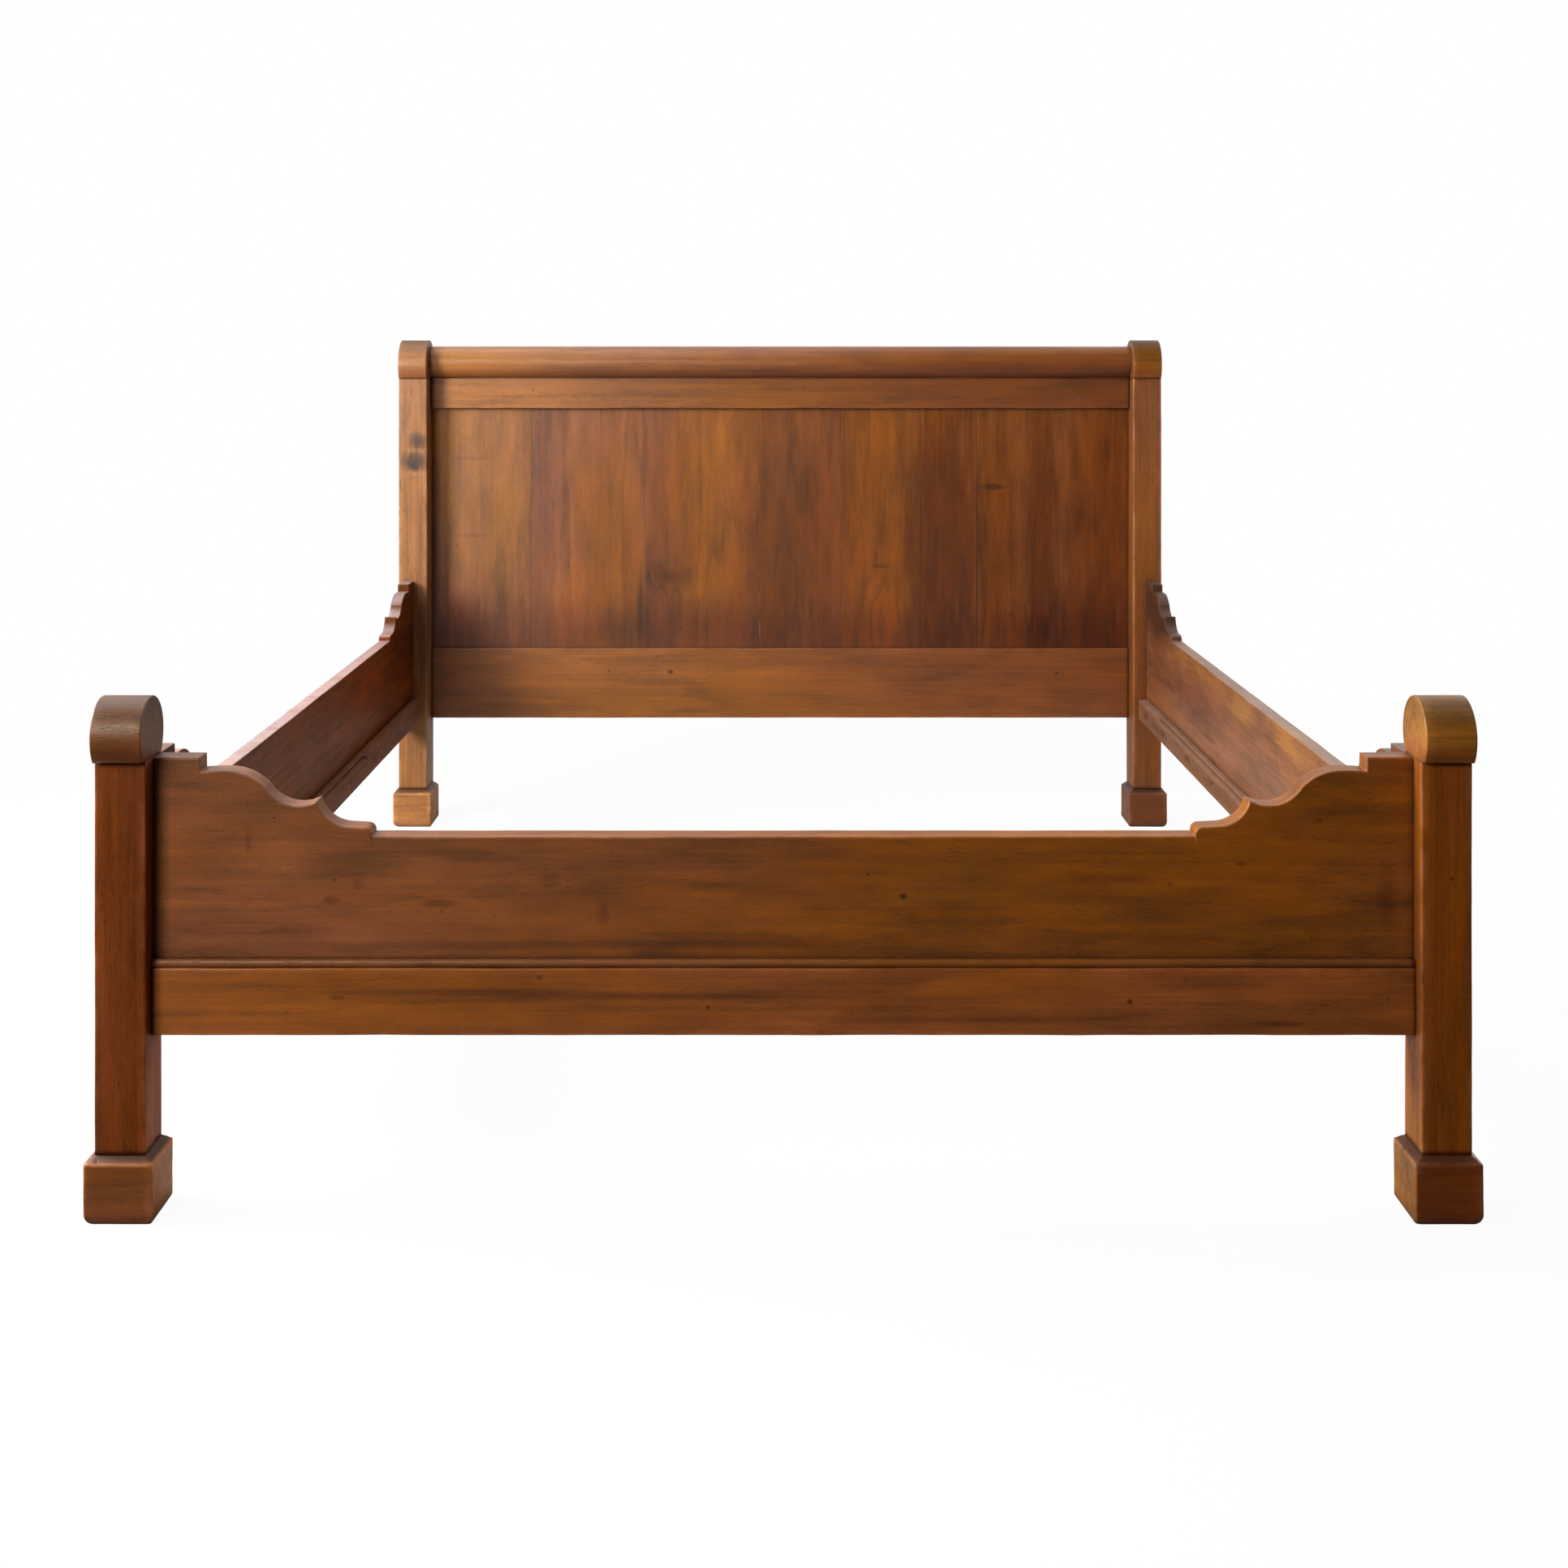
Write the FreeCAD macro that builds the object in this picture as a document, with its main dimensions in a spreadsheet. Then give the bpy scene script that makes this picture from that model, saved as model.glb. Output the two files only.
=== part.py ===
import FreeCAD, Part
import os

import Sketcher
from FreeCAD import Placement, Rotation, Vector

# Double bed in a nineteenth century country style, in walnut.
# Millimetres. +X is to the right, +Y towards the headboard, +Z up.
# The origin is on the floor, at the middle of the bed's outer box.

# Driving dimensions of the whole bed.
BED_SIZES = {
    "bed_width": 1700.0,
    "post_spacing": 2035.0,
    "joint_clearance": 0.2,
    "mortise_end_gap": 1.0,
    "cut_overrun": 5.0,
}

# Posts, their caps and their feet.
POST_SIZES = {
    "post_width": 63.0,
    "foot_post_depth": 68.0,
    "head_post_depth": 86.0,
    "post_edge_radius": 2.5,
    "foot_seat_height": 567.0,
    "head_seat_height": 998.0,
    "foot_cap_radius": 48.0,
    "foot_cap_rise": 28.6,
    "foot_cap_setback": 28.0,
    "head_cap_radius": 54.0,
    "head_cap_rise": 30.0,
    "head_cap_setback": 43.0,
    "cap_edge_radius": 1.5,
    "block_height": 81.0,
    "block_overhang": 11.0,
    "block_bevel": 7.0,
    "block_edge_radius": 9.0,
}

# Footboard: a scalloped panel on a heavy lower rail, with a bead between them.
FOOTBOARD_SIZES = {
    "foot_rail_bottom": 222.0,
    "foot_rail_height": 83.5,
    "foot_rail_setback": 21.0,
    "bead_height": 10.5,
    "bead_depth": 10.0,
    "panel_top_drop": 1.5,
    "foot_panel_thickness": 34.0,
    "raised_length": 59.0,
    "ogee_length": 214.0,
}

# Headboard: a roll, two rails and a panel of upright boards.
HEADBOARD_SIZES = {
    "roll_radius": 37.0,
    "roll_flat": 4.0,
    "roll_setback": 62.0,
    "top_rail_height": 69.5,
    "top_rail_setback": 45.0,
    "bottom_rail_bottom": 230.0,
    "bottom_rail_height": 157.0,
    "bottom_rail_setback": 57.0,
    "board_setback": 62.0,
    "board_thickness": 20.0,
    "board_tongue_thickness": 8.0,
    "board_tongue": 10.0,
    "rail_edge_radius": 1.5,
}

# Side rails and the ledgers that carry the slats.
SIDE_SIZES = {
    "side_bottom": 220.0,
    "side_height": 233.0,
    "side_thickness": 24.5,
    "side_setback": 8.5,
    "side_raised_height": 92.0,
    "side_raised_at_head": 60.0,
    "side_raised_at_foot": 160.0,
    "ledger_rise": 26.0,
    "ledger_height": 40.0,
    "ledger_width": 25.0,
    "ledger_foot_gap": 57.0,
    "ledger_head_gap": 25.0,
    "ledger_nose_radius": 14.0,
    "rebate_width": 11.0,
    "rebate_depth": 6.0,
    "rebate_stop": 90.0,
    "right_rebate_stop": 227.0,
    "left_rebate_stop": 607.0,
    "peg_radius": 4.0,
    "peg_length": 40.0,
}

# Tenons and dowels inside the head and foot frames.
JOINERY_SIZES = {
    "tenon_thickness": 14.0,
    "tenon_shoulder": 12.0,
    "foot_tenon_length": 25.0,
    "head_tenon_length": 40.0,
    "cap_dowel_radius": 7.0,
    "cap_dowel_length": 50.0,
    "block_dowel_radius": 10.0,
    "block_dowel_length": 60.0,
    "rail_dowel_radius": 5.0,
    "rail_dowel_length": 36.0,
}

# Hook plates on the rail ends and slotted catch plates in the posts.
FITTING_SIZES = {
    "plate_width": 17.0,
    "plate_height": 130.0,
    "plate_thickness": 3.0,
    "plate_rise": 52.0,
    "hook_thickness": 5.0,
    "hook_neck_height": 16.0,
    "hook_lip_drop": 8.0,
    "hook_lip_depth": 4.0,
    "hook_inset": 34.0,
    "hook_play": 0.5,
    "hook_pocket_depth": 12.0,
    "plate_screw_inset": 12.0,
    "screw_radius": 2.2,
    "screw_length": 32.0,
    "screw_head_radius": 4.2,
    "screw_head_height": 2.6,
}

# The scallop from the raised end down to the straight top edge. Each point is a
# share of the ogee's length and of the raised height.
OGEE_POINT_SHARES = (
    (0.0, 0.825),
    (0.14, 0.835),
    (0.374, 0.624),
    (0.679, 0.449),
    (0.864, 0.125),
    (0.967, 0.112),
    (1.0, 0.0),
)
# How far each stretch bows out of its chord, as a share of the chord. A stretch
# that bows up, away from the wood, is positive.
OGEE_BOW_SHARES = (0.012, 0.1, -0.2, -0.17, 0.0, 0.2)

# How deep the footboard dips in the middle, as a share of its panel's height.
FOOT_DIP_SHARE = 0.379

# How far the bead's rounded front stands out, as a share of its height.
BEAD_BOW_SHARE = 0.44

# Where one board of the headboard's panel ends and the next begins.
BOARD_EDGE_SHARES = (0.0, 0.144, 0.306, 0.47, 0.587, 0.703, 0.783, 0.855, 1.0)

# Two places closer than this count as one.
SAME_PLACE = 0.001

LEDGER_PEGS = 6
ROLL_DOWELS = 5
FOOT_PANEL_DOWELS = 6
SIDES = {"left": -1, "right": 1}

document = FreeCAD.newDocument("DoubleBed")
sheet = document.addObject("Spreadsheet::Sheet", "Sizes")
nodes = []


class Length:
    """A length in millimetres, with the formula that ties it to the sheet."""

    def __init__(self, number, formula):
        self.number = number
        self.formula = formula

    def __add__(self, other):
        return Length(self.number + other.number, f"({self.formula} + {other.formula})")

    def __sub__(self, other):
        return Length(self.number - other.number, f"({self.formula} - {other.formula})")

    def __neg__(self):
        return Length(-self.number, f"(0 - {self.formula})")

    def __mul__(self, share):
        return Length(self.number * share, f"({self.formula} * {share:.6f})")

    def __truediv__(self, count):
        return Length(self.number / count, f"({self.formula} / {count})")


ZERO = Length(0.0, "0")


def read_sizes(*groups):
    """Fill the sheet and return each size under its own name."""
    sizes = {}
    row = 0
    for group in groups:
        for name, value in group.items():
            row += 1
            sheet.set(f"A{row}", name)
            sheet.set(f"B{row}", str(value))
            sheet.setAlias(f"B{row}", name)
            sizes[name] = Length(value, f"Sizes.{name}")
    document.recompute()
    return sizes


def hypotenuse(run, rise):
    """The straight distance across a run and a rise."""
    number = (run.number ** 2 + rise.number ** 2) ** 0.5
    return Length(number, f"sqrt({run.formula} * {run.formula} + {rise.formula} * {rise.formula})")


def half_chord(radius, distance):
    """Half the width of a circle at a distance from its middle."""
    number = (radius.number ** 2 - distance.number ** 2) ** 0.5
    squares = f"{radius.formula} * {radius.formula} - {distance.formula} * {distance.formula}"
    return Length(number, f"sqrt({squares})")


def vector(point):
    return Vector(*(part.number for part in point))


def bind(feature, prop, size):
    """Give a property its value and tie it to the sheet."""
    setattr(feature, prop, size.number)
    feature.setExpression(prop, size.formula)


def bind_place(feature, point, turn=None):
    """Put a feature at a point, turned if asked, and tie the point to the sheet."""
    feature.Placement = Placement(vector(point), turn or Rotation())
    for axis, part in zip("xyz", point):
        feature.setExpression(f"Placement.Base.{axis}", part.formula)


def turn_to(direction):
    """The turn that brings the upward axis to a direction."""
    return Rotation(Vector(0, 0, 1), Vector(*direction))


class Piece:
    """One piece of the bed: a body whose features are placed in the bed's frame."""

    def __init__(self, label, origin):
        self.origin = origin
        self.body = document.addObject("PartDesign::Body", label)
        self.body.Label = label
        bind_place(self.body, origin)
        nodes.append(self.body)

    def local(self, point):
        return tuple(part - start for part, start in zip(point, self.origin))

    def box(self, kind, low, high):
        feature = self.body.newObject(kind, "Block")
        for prop, start, end in zip(("Length", "Width", "Height"), low, high):
            bind(feature, prop, end - start)
        bind_place(feature, self.local(low))
        return feature

    def add(self, low, high):
        """Wood between two opposite corners."""
        return self.box("PartDesign::AdditiveBox", low, high)

    def cut(self, low, high):
        """Wood taken away between two opposite corners."""
        return self.box("PartDesign::SubtractiveBox", low, high)

    def drill(self, start, direction, radius, depth):
        """A round hole from a point on the surface into the wood."""
        feature = self.body.newObject("PartDesign::SubtractiveCylinder", "Hole")
        bind(feature, "Radius", radius)
        bind(feature, "Height", depth)
        bind_place(feature, self.local(start), turn_to(direction))
        return feature

    def countersink(self, start, direction, mouth, radius, depth):
        """A screw's head seat: a cone that narrows into the wood."""
        feature = self.body.newObject("PartDesign::SubtractiveCone", "Seat")
        bind(feature, "Radius1", mouth)
        bind(feature, "Radius2", radius)
        bind(feature, "Height", depth)
        bind_place(feature, self.local(start), turn_to(direction))
        return feature

    def round_over(self, radius, wanted):
        """Round every edge of the body so far that the test picks."""
        document.recompute()
        base = self.body.Tip
        names = [
            f"Edge{number}"
            for number, edge in enumerate(base.Shape.Edges, start=1)
            if wanted(edge)
        ]
        feature = self.body.newObject("PartDesign::Fillet", "Rounding")
        feature.Base = (base, names)
        bind(feature, "Radius", radius)
        return feature

    def profile(self, plane_role, corners, bows, depth, reverse):
        """Pad a closed outline. A bow other than zero makes its side an arc."""
        sketch = self.body.newObject("Sketcher::SketchObject", "Outline")
        planes = self.body.Origin.OriginFeatures
        plane = next(item for item in planes if item.Role == plane_role)
        sketch.AttachmentSupport = (plane, [""])
        sketch.MapMode = "FlatFace"
        draw_outline(sketch, corners, bows)
        pad = self.body.newObject("PartDesign::Pad", "Board")
        pad.Profile = sketch
        pad.Reversed = reverse
        bind(pad, "Length", depth)
        return pad


def draw_outline(sketch, corners, bows):
    """A closed outline whose corners and arc radii follow the sheet."""
    count = len(corners)
    ends = []
    for number in range(count):
        first = corners[number]
        last = corners[(number + 1) % count]
        if bows[number] == 0:
            start = Vector(first[0].number, first[1].number, 0)
            end = Vector(last[0].number, last[1].number, 0)
            sketch.addGeometry(Part.LineSegment(start, end))
            ends.append((1, 2))
        else:
            ends.append(add_arc(sketch, first, last, bows[number]))
    for number in range(count):
        following = (number + 1) % count
        sketch.addConstraint(Sketcher.Constraint(
            "Coincident", number, ends[number][1], following, ends[following][0]))
    for number, corner in enumerate(corners):
        for kind, part in zip(("DistanceX", "DistanceY"), corner):
            index = sketch.addConstraint(Sketcher.Constraint(
                kind, -1, 1, number, ends[number][0], part.number))
            sketch.setExpression(f"Constraints[{index}]", part.formula)
    for number in range(count):
        if bows[number] != 0:
            radius = arc_radius(corners[number], corners[(number + 1) % count], bows[number])
            index = sketch.addConstraint(Sketcher.Constraint("Radius", number, radius.number))
            sketch.setExpression(f"Constraints[{index}]", radius.formula)


def arc_radius(first, last, bow):
    """Radius of the arc over a chord, from its rise as a share of the chord."""
    chord = hypotenuse(last[0] - first[0], last[1] - first[1])
    return chord * ((0.25 + bow * bow) / (2 * abs(bow)))


def add_arc(sketch, first, last, bow):
    """An arc from the first corner to the last, bowed to the left of its chord."""
    start = Vector(first[0].number, first[1].number, 0)
    end = Vector(last[0].number, last[1].number, 0)
    chord = end - start
    left = Vector(-chord.y, chord.x, 0)
    radius = arc_radius(first, last, bow).number
    top = (start + end) / 2 + left * bow
    middle = top - left * (radius / chord.Length * (1 if bow > 0 else -1))
    upright = Part.Circle(middle, Vector(0, 0, 1), radius)
    tail, tip = (end, start) if bow > 0 else (start, end)
    sketch.addGeometry(Part.ArcOfCircle(upright, upright.parameter(tail), upright.parameter(tip)))
    return (2, 1) if bow > 0 else (1, 2)


def along(edge, axis):
    """Whether a straight edge runs along the X, Y or Z axis, 0, 1 or 2."""
    box = edge.BoundBox
    spans = (box.XLength, box.YLength, box.ZLength)
    others = [span for number, span in enumerate(spans) if number != axis]
    return max(others) < SAME_PLACE < spans[axis]


def between(side, inner, outer):
    """Low and high X of a span that is given outwards from the middle."""
    return (-outer, -inner) if side < 0 else (inner, outer)


def group(label, parts):
    """Several equal small solids as one node."""
    compound = document.addObject("Part::Compound", label)
    compound.Label = label
    compound.Links = parts
    nodes.append(compound)


def pin(start, direction, radius, length):
    """A plain round pin from its start point."""
    cylinder = document.addObject("Part::Cylinder", "Pin")
    bind(cylinder, "Radius", radius)
    bind(cylinder, "Height", length)
    bind_place(cylinder, start, turn_to(direction))
    return cylinder


S = read_sizes(BED_SIZES, POST_SIZES, FOOTBOARD_SIZES, HEADBOARD_SIZES, SIDE_SIZES,
               JOINERY_SIZES, FITTING_SIZES)

# Places that follow from the driving dimensions.
HALF_WIDTH = S["bed_width"] / 2
POST_INNER = HALF_WIDTH - S["post_width"]
POST_MIDDLE = HALF_WIDTH - S["post_width"] / 2
HEAD_CAP_BACK = S["post_spacing"] + S["head_cap_setback"] + S["head_cap_radius"]
FOOT_CAP_FRONT = S["foot_cap_setback"] - S["foot_cap_radius"]
FOOT_FRONT = -(HEAD_CAP_BACK + FOOT_CAP_FRONT) / 2
FOOT_BACK = FOOT_FRONT + S["foot_post_depth"]
HEAD_FRONT = FOOT_FRONT + S["post_spacing"]
HEAD_BACK = HEAD_FRONT + S["head_post_depth"]
FOOT_RAIL_TOP = S["foot_rail_bottom"] + S["foot_rail_height"]
FOOT_RAIL_FRONT = FOOT_FRONT + S["foot_rail_setback"]
FOOT_PANEL_FRONT = FOOT_RAIL_FRONT + S["bead_depth"]
FOOT_PANEL_BACK = FOOT_PANEL_FRONT + S["foot_panel_thickness"]
FOOT_PANEL_TOP = S["foot_seat_height"] - S["panel_top_drop"]
FOOT_PANEL_DIP = (FOOT_PANEL_TOP - FOOT_RAIL_TOP) * FOOT_DIP_SHARE
FOOT_PANEL_HEIGHT = FOOT_PANEL_TOP - FOOT_RAIL_TOP - FOOT_PANEL_DIP
BOTTOM_RAIL_TOP = S["bottom_rail_bottom"] + S["bottom_rail_height"]
TOP_RAIL_BOTTOM = S["head_seat_height"] - S["top_rail_height"]
SIDE_OUTER = HALF_WIDTH - S["side_setback"]
SIDE_INNER = SIDE_OUTER - S["side_thickness"]
SIDE_MIDDLE = (SIDE_OUTER + SIDE_INNER) / 2
PLATE_BOTTOM = S["side_bottom"] + S["plate_rise"]

# The two ends of a side rail: the plane where rail meets post, and the way from
# the rail into the post.
RAIL_ENDS = {
    "foot": (FOOT_BACK, -1),
    "head": (HEAD_FRONT, 1),
}


def ordered(first, second):
    """Two places as low and high."""
    return (first, second) if first.number <= second.number else (second, first)


def toward(start, direction, distance):
    """A place at a distance from a start, one way or the other."""
    return start + distance if direction > 0 else start - distance


def centred(middle, width):
    """Low and high of a width about its middle."""
    return middle - width / 2, middle + width / 2


def tenon_spans(front, back):
    """Low and high Y of a tenon in the middle of a rail's thickness."""
    return centred((front + back) / 2, S["tenon_thickness"])


def hook_heights():
    """Underside of each of the two hook necks on a plate."""
    low = PLATE_BOTTOM + S["hook_inset"]
    high = PLATE_BOTTOM + S["plate_height"] - S["hook_inset"]
    return low, high


def plate_screw_heights():
    """Heights of the two screws of a plate."""
    inset = S["plate_screw_inset"]
    return PLATE_BOTTOM + inset, PLATE_BOTTOM + S["plate_height"] - inset


def cut_mortise(piece, side, low, high, length):
    """A mortise in a post's inner face for a tenon between two Y, Z corners."""
    play = S["joint_clearance"]
    inner = POST_INNER - S["cut_overrun"]
    outer = POST_INNER + length + S["mortise_end_gap"]
    left, right = between(side, inner, outer)
    piece.cut((left, low[0] - play, low[1] - play), (right, high[0] + play, high[1] + play))


def cut_catch_seat(piece, side, end):
    """The recess for a catch plate, the pocket behind it and its screw holes."""
    face, inward = RAIL_ENDS[end]
    play = S["joint_clearance"]
    middle = SIDE_MIDDLE if side > 0 else -SIDE_MIDDLE
    half = S["plate_width"] / 2
    floor = toward(face, inward, S["plate_thickness"])
    low_y, high_y = ordered(toward(face, -inward, S["cut_overrun"]), floor)
    plate_top = PLATE_BOTTOM + S["plate_height"]
    piece.cut((middle - half, low_y, PLATE_BOTTOM), (middle + half, high_y, plate_top))
    room = S["hook_thickness"] / 2 + play
    low_y, high_y = ordered(face, toward(floor, inward, S["hook_pocket_depth"]))
    for neck in hook_heights():
        bottom = neck - S["hook_lip_drop"] - S["hook_play"]
        top = neck + S["hook_neck_height"] + S["hook_lip_drop"] + S["hook_play"]
        piece.cut((middle - room, low_y, bottom), (middle + room, high_y, top))
    for height in plate_screw_heights():
        piece.drill((middle, floor, height), (0, inward, 0), S["screw_radius"], S["screw_length"])


def build_post(end, name, side, front, depth, seat_height):
    """A square post with its mortises, dowel holes and catch plate recess."""
    low_x, high_x = between(side, POST_INNER, HALF_WIDTH)
    back = front + depth
    piece = Piece(f"{end}_post_{name}", (low_x, front, S["block_height"]))
    piece.add((low_x, front, S["block_height"]), (high_x, back, seat_height))
    piece.round_over(S["post_edge_radius"], lambda edge: along(edge, 2))
    middle_x = POST_MIDDLE if side > 0 else -POST_MIDDLE
    middle_y = (front + back) / 2
    piece.drill((middle_x, middle_y, S["block_height"]), (0, 0, 1),
                S["block_dowel_radius"], S["block_dowel_length"] / 2)
    piece.drill((middle_x, middle_y, seat_height), (0, 0, -1),
                S["cap_dowel_radius"], S["cap_dowel_length"] / 2)
    cut_catch_seat(piece, side, end)
    return piece


def build_block(end, name, side, front, depth):
    """The foot under a post: a block with a bevelled top and rounded bottom."""
    low_x, high_x = between(side, POST_INNER, HALF_WIDTH)
    over = S["block_overhang"]
    low = (low_x - over, front - over, ZERO)
    high = (high_x + over, front + depth + over, S["block_height"])
    piece = Piece(f"{end}_block_{name}", low)
    piece.add(low, high)
    piece.round_over(S["block_edge_radius"], lambda edge: edge.BoundBox.ZMax < SAME_PLACE)
    document.recompute()
    base = piece.body.Tip
    top = S["block_height"].number
    names = [
        f"Edge{number}"
        for number, edge in enumerate(base.Shape.Edges, start=1)
        if edge.BoundBox.ZMin > top - SAME_PLACE
    ]
    bevel = piece.body.newObject("PartDesign::Chamfer", "Bevel")
    bevel.Base = (base, names)
    bevel.ChamferType = "Two distances"
    bind(bevel, "Size", S["block_bevel"])
    bind(bevel, "Size2", over)
    document.recompute()
    if piece.body.Shape.Faces and not bevel_is_wide(piece.body.Shape, high_x - low_x):
        bevel.FlipDirection = True
    piece.drill(((low_x + high_x) / 2, front + depth / 2, S["block_height"]), (0, 0, -1),
                S["block_dowel_radius"], S["block_dowel_length"] / 2)
    return piece


def bevel_is_wide(shape, seat_width):
    """Whether the flat left on top of a block is as wide as its post."""
    top = max(shape.Faces, key=lambda face: face.CenterOfMass.z)
    return abs(top.BoundBox.XLength - seat_width.number) < SAME_PLACE


def build_cap(end, name, side, front, radius, rise, setback, seat_height, depth):
    """A rolled cap: a cylinder across the bed, cut flat where it sits on its post."""
    low_x, high_x = between(side, POST_INNER, HALF_WIDTH)
    middle_y = front + setback
    piece = Piece(f"{end}_cap_{name}", (low_x, middle_y, seat_height))
    sketch_rolled(piece, radius, rise, high_x - low_x)
    piece.round_over(S["cap_edge_radius"],
                     lambda edge: edge.Curve.TypeId == "Part::GeomCircle")
    middle_x = POST_MIDDLE if side > 0 else -POST_MIDDLE
    piece.drill((middle_x, front + depth / 2, seat_height), (0, 0, 1),
                S["cap_dowel_radius"], S["cap_dowel_length"] / 2)
    return piece


def sketch_rolled(piece, radius, rise, length):
    """A circle cut by a flat seat through the sketch's origin, padded along X."""
    half_seat = half_chord(radius, rise)
    sketch = piece.body.newObject("Sketcher::SketchObject", "Roll")
    planes = piece.body.Origin.OriginFeatures
    plane = next(item for item in planes if item.Role == "YZ_Plane")
    sketch.AttachmentSupport = (plane, [""])
    sketch.MapMode = "FlatFace"
    circle = Part.Circle(Vector(0, rise.number, 0), Vector(0, 0, 1), radius.number)
    right = Vector(half_seat.number, 0, 0)
    left = Vector(-half_seat.number, 0, 0)
    sketch.addGeometry(Part.ArcOfCircle(circle, circle.parameter(right), circle.parameter(left)))
    sketch.addGeometry(Part.LineSegment(left, right))
    sketch.addConstraint(Sketcher.Constraint("Coincident", 0, 2, 1, 1))
    sketch.addConstraint(Sketcher.Constraint("Coincident", 1, 2, 0, 1))
    places = (
        ("DistanceX", 0, 3, ZERO),
        ("DistanceY", 0, 3, rise),
        ("DistanceY", 0, 1, ZERO),
        ("DistanceY", 0, 2, ZERO),
    )
    for kind, geometry, point, size in places:
        index = sketch.addConstraint(Sketcher.Constraint(
            kind, -1, 1, geometry, point, size.number))
        sketch.setExpression(f"Constraints[{index}]", size.formula)
    index = sketch.addConstraint(Sketcher.Constraint("Radius", 0, radius.number))
    sketch.setExpression(f"Constraints[{index}]", radius.formula)
    pad = piece.body.newObject("PartDesign::Pad", "Roll")
    pad.Profile = sketch
    bind(pad, "Length", length)
    return pad


def ogee_points(start, base, raised, reverse):
    """Points of one scallop. Start is where the raised end stops."""
    points = []
    for run_share, rise_share in OGEE_POINT_SHARES:
        run = S["ogee_length"] * run_share
        place = start - run if reverse else start + run
        points.append((place, base + raised * rise_share))
    return points


def scalloped_outline(length, height, raised, first_raised, last_raised):
    """Outline of a board with a scallop down from each raised end, and its bows."""
    top = height + raised
    first = ogee_points(first_raised, height, raised, False)
    last = ogee_points(length - last_raised, height, raised, True)
    corners = [(ZERO, top), (first_raised, top)] + first + last[::-1]
    corners += [(length - last_raised, top), (length, top), (length, ZERO), (ZERO, ZERO)]
    bows = [0.0, 0.0] + list(OGEE_BOW_SHARES) + [0.0] + list(OGEE_BOW_SHARES[::-1])
    bows += [0.0, 0.0, 0.0, 0.0, 0.0]
    return corners, bows


def build_footboard():
    """The lower rail, the bead on its front edge and the scalloped panel."""
    rail = Piece("foot_rail", (-POST_INNER, FOOT_RAIL_FRONT, S["foot_rail_bottom"]))
    rail.add((-POST_INNER, FOOT_RAIL_FRONT, S["foot_rail_bottom"]),
             (POST_INNER, FOOT_PANEL_BACK, FOOT_RAIL_TOP))
    rail.round_over(S["rail_edge_radius"], lambda edge: along(edge, 0))
    low_y, high_y = tenon_spans(FOOT_RAIL_FRONT, FOOT_PANEL_BACK)
    shoulder = S["tenon_shoulder"]
    reach = POST_INNER + S["foot_tenon_length"]
    rail.add((-reach, low_y, S["foot_rail_bottom"] + shoulder),
             (reach, high_y, FOOT_RAIL_TOP - shoulder))

    bead = Piece("foot_bead", (-POST_INNER, FOOT_RAIL_FRONT, FOOT_RAIL_TOP))
    flat = S["bead_height"] * BEAD_BOW_SHARE
    depth = S["bead_depth"]
    corners = [(flat, ZERO), (depth, ZERO), (depth, S["bead_height"]), (flat, S["bead_height"])]
    bows = [0.0, 0.0, 0.0, -BEAD_BOW_SHARE]
    bead.profile("YZ_Plane", corners, bows, POST_INNER * 2, False)

    panel = Piece("foot_panel", (-POST_INNER, FOOT_PANEL_FRONT, FOOT_RAIL_TOP))
    corners, bows = scalloped_outline(POST_INNER * 2, FOOT_PANEL_HEIGHT, FOOT_PANEL_DIP,
                                      S["raised_length"], S["raised_length"])
    panel.profile("XZ_Plane", corners, bows, S["foot_panel_thickness"], True)
    low_y, high_y = tenon_spans(FOOT_PANEL_FRONT, FOOT_PANEL_BACK)
    tongue_low = FOOT_RAIL_TOP + shoulder
    tongue_high = FOOT_PANEL_TOP - shoulder * 2
    for side in SIDES.values():
        low_x, high_x = between(side, POST_INNER, reach)
        panel.add((low_x, low_y, tongue_low), (high_x, high_y, tongue_high))

    dowels = []
    dowel_y = (FOOT_PANEL_FRONT + FOOT_PANEL_BACK) / 2
    half_length = S["rail_dowel_length"] / 2
    spacing = POST_INNER * 2 / FOOT_PANEL_DOWELS
    for number in range(FOOT_PANEL_DOWELS):
        x = -POST_INNER + spacing * (number + 0.5)
        rail.drill((x, dowel_y, FOOT_RAIL_TOP), (0, 0, -1), S["rail_dowel_radius"], half_length)
        panel.drill((x, dowel_y, FOOT_RAIL_TOP), (0, 0, 1), S["rail_dowel_radius"], half_length)
        dowels.append(pin((x, dowel_y, FOOT_RAIL_TOP - half_length), (0, 0, 1),
                          S["rail_dowel_radius"], S["rail_dowel_length"]))
    group("foot_panel_dowels", dowels)


def build_foot_posts():
    """The two low posts, with their caps and feet."""
    shoulder = S["tenon_shoulder"]
    rail_y = tenon_spans(FOOT_RAIL_FRONT, FOOT_PANEL_BACK)
    panel_y = tenon_spans(FOOT_PANEL_FRONT, FOOT_PANEL_BACK)
    for name, side in SIDES.items():
        post = build_post("foot", name, side, FOOT_FRONT, S["foot_post_depth"],
                          S["foot_seat_height"])
        cut_mortise(post, side, (rail_y[0], S["foot_rail_bottom"] + shoulder),
                    (rail_y[1], FOOT_RAIL_TOP - shoulder), S["foot_tenon_length"])
        cut_mortise(post, side, (panel_y[0], FOOT_RAIL_TOP + shoulder),
                    (panel_y[1], FOOT_PANEL_TOP - shoulder * 2), S["foot_tenon_length"])
        build_cap("foot", name, side, FOOT_FRONT, S["foot_cap_radius"], S["foot_cap_rise"],
                  S["foot_cap_setback"], S["foot_seat_height"], S["foot_post_depth"])
        build_block("foot", name, side, FOOT_FRONT, S["foot_post_depth"])


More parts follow.
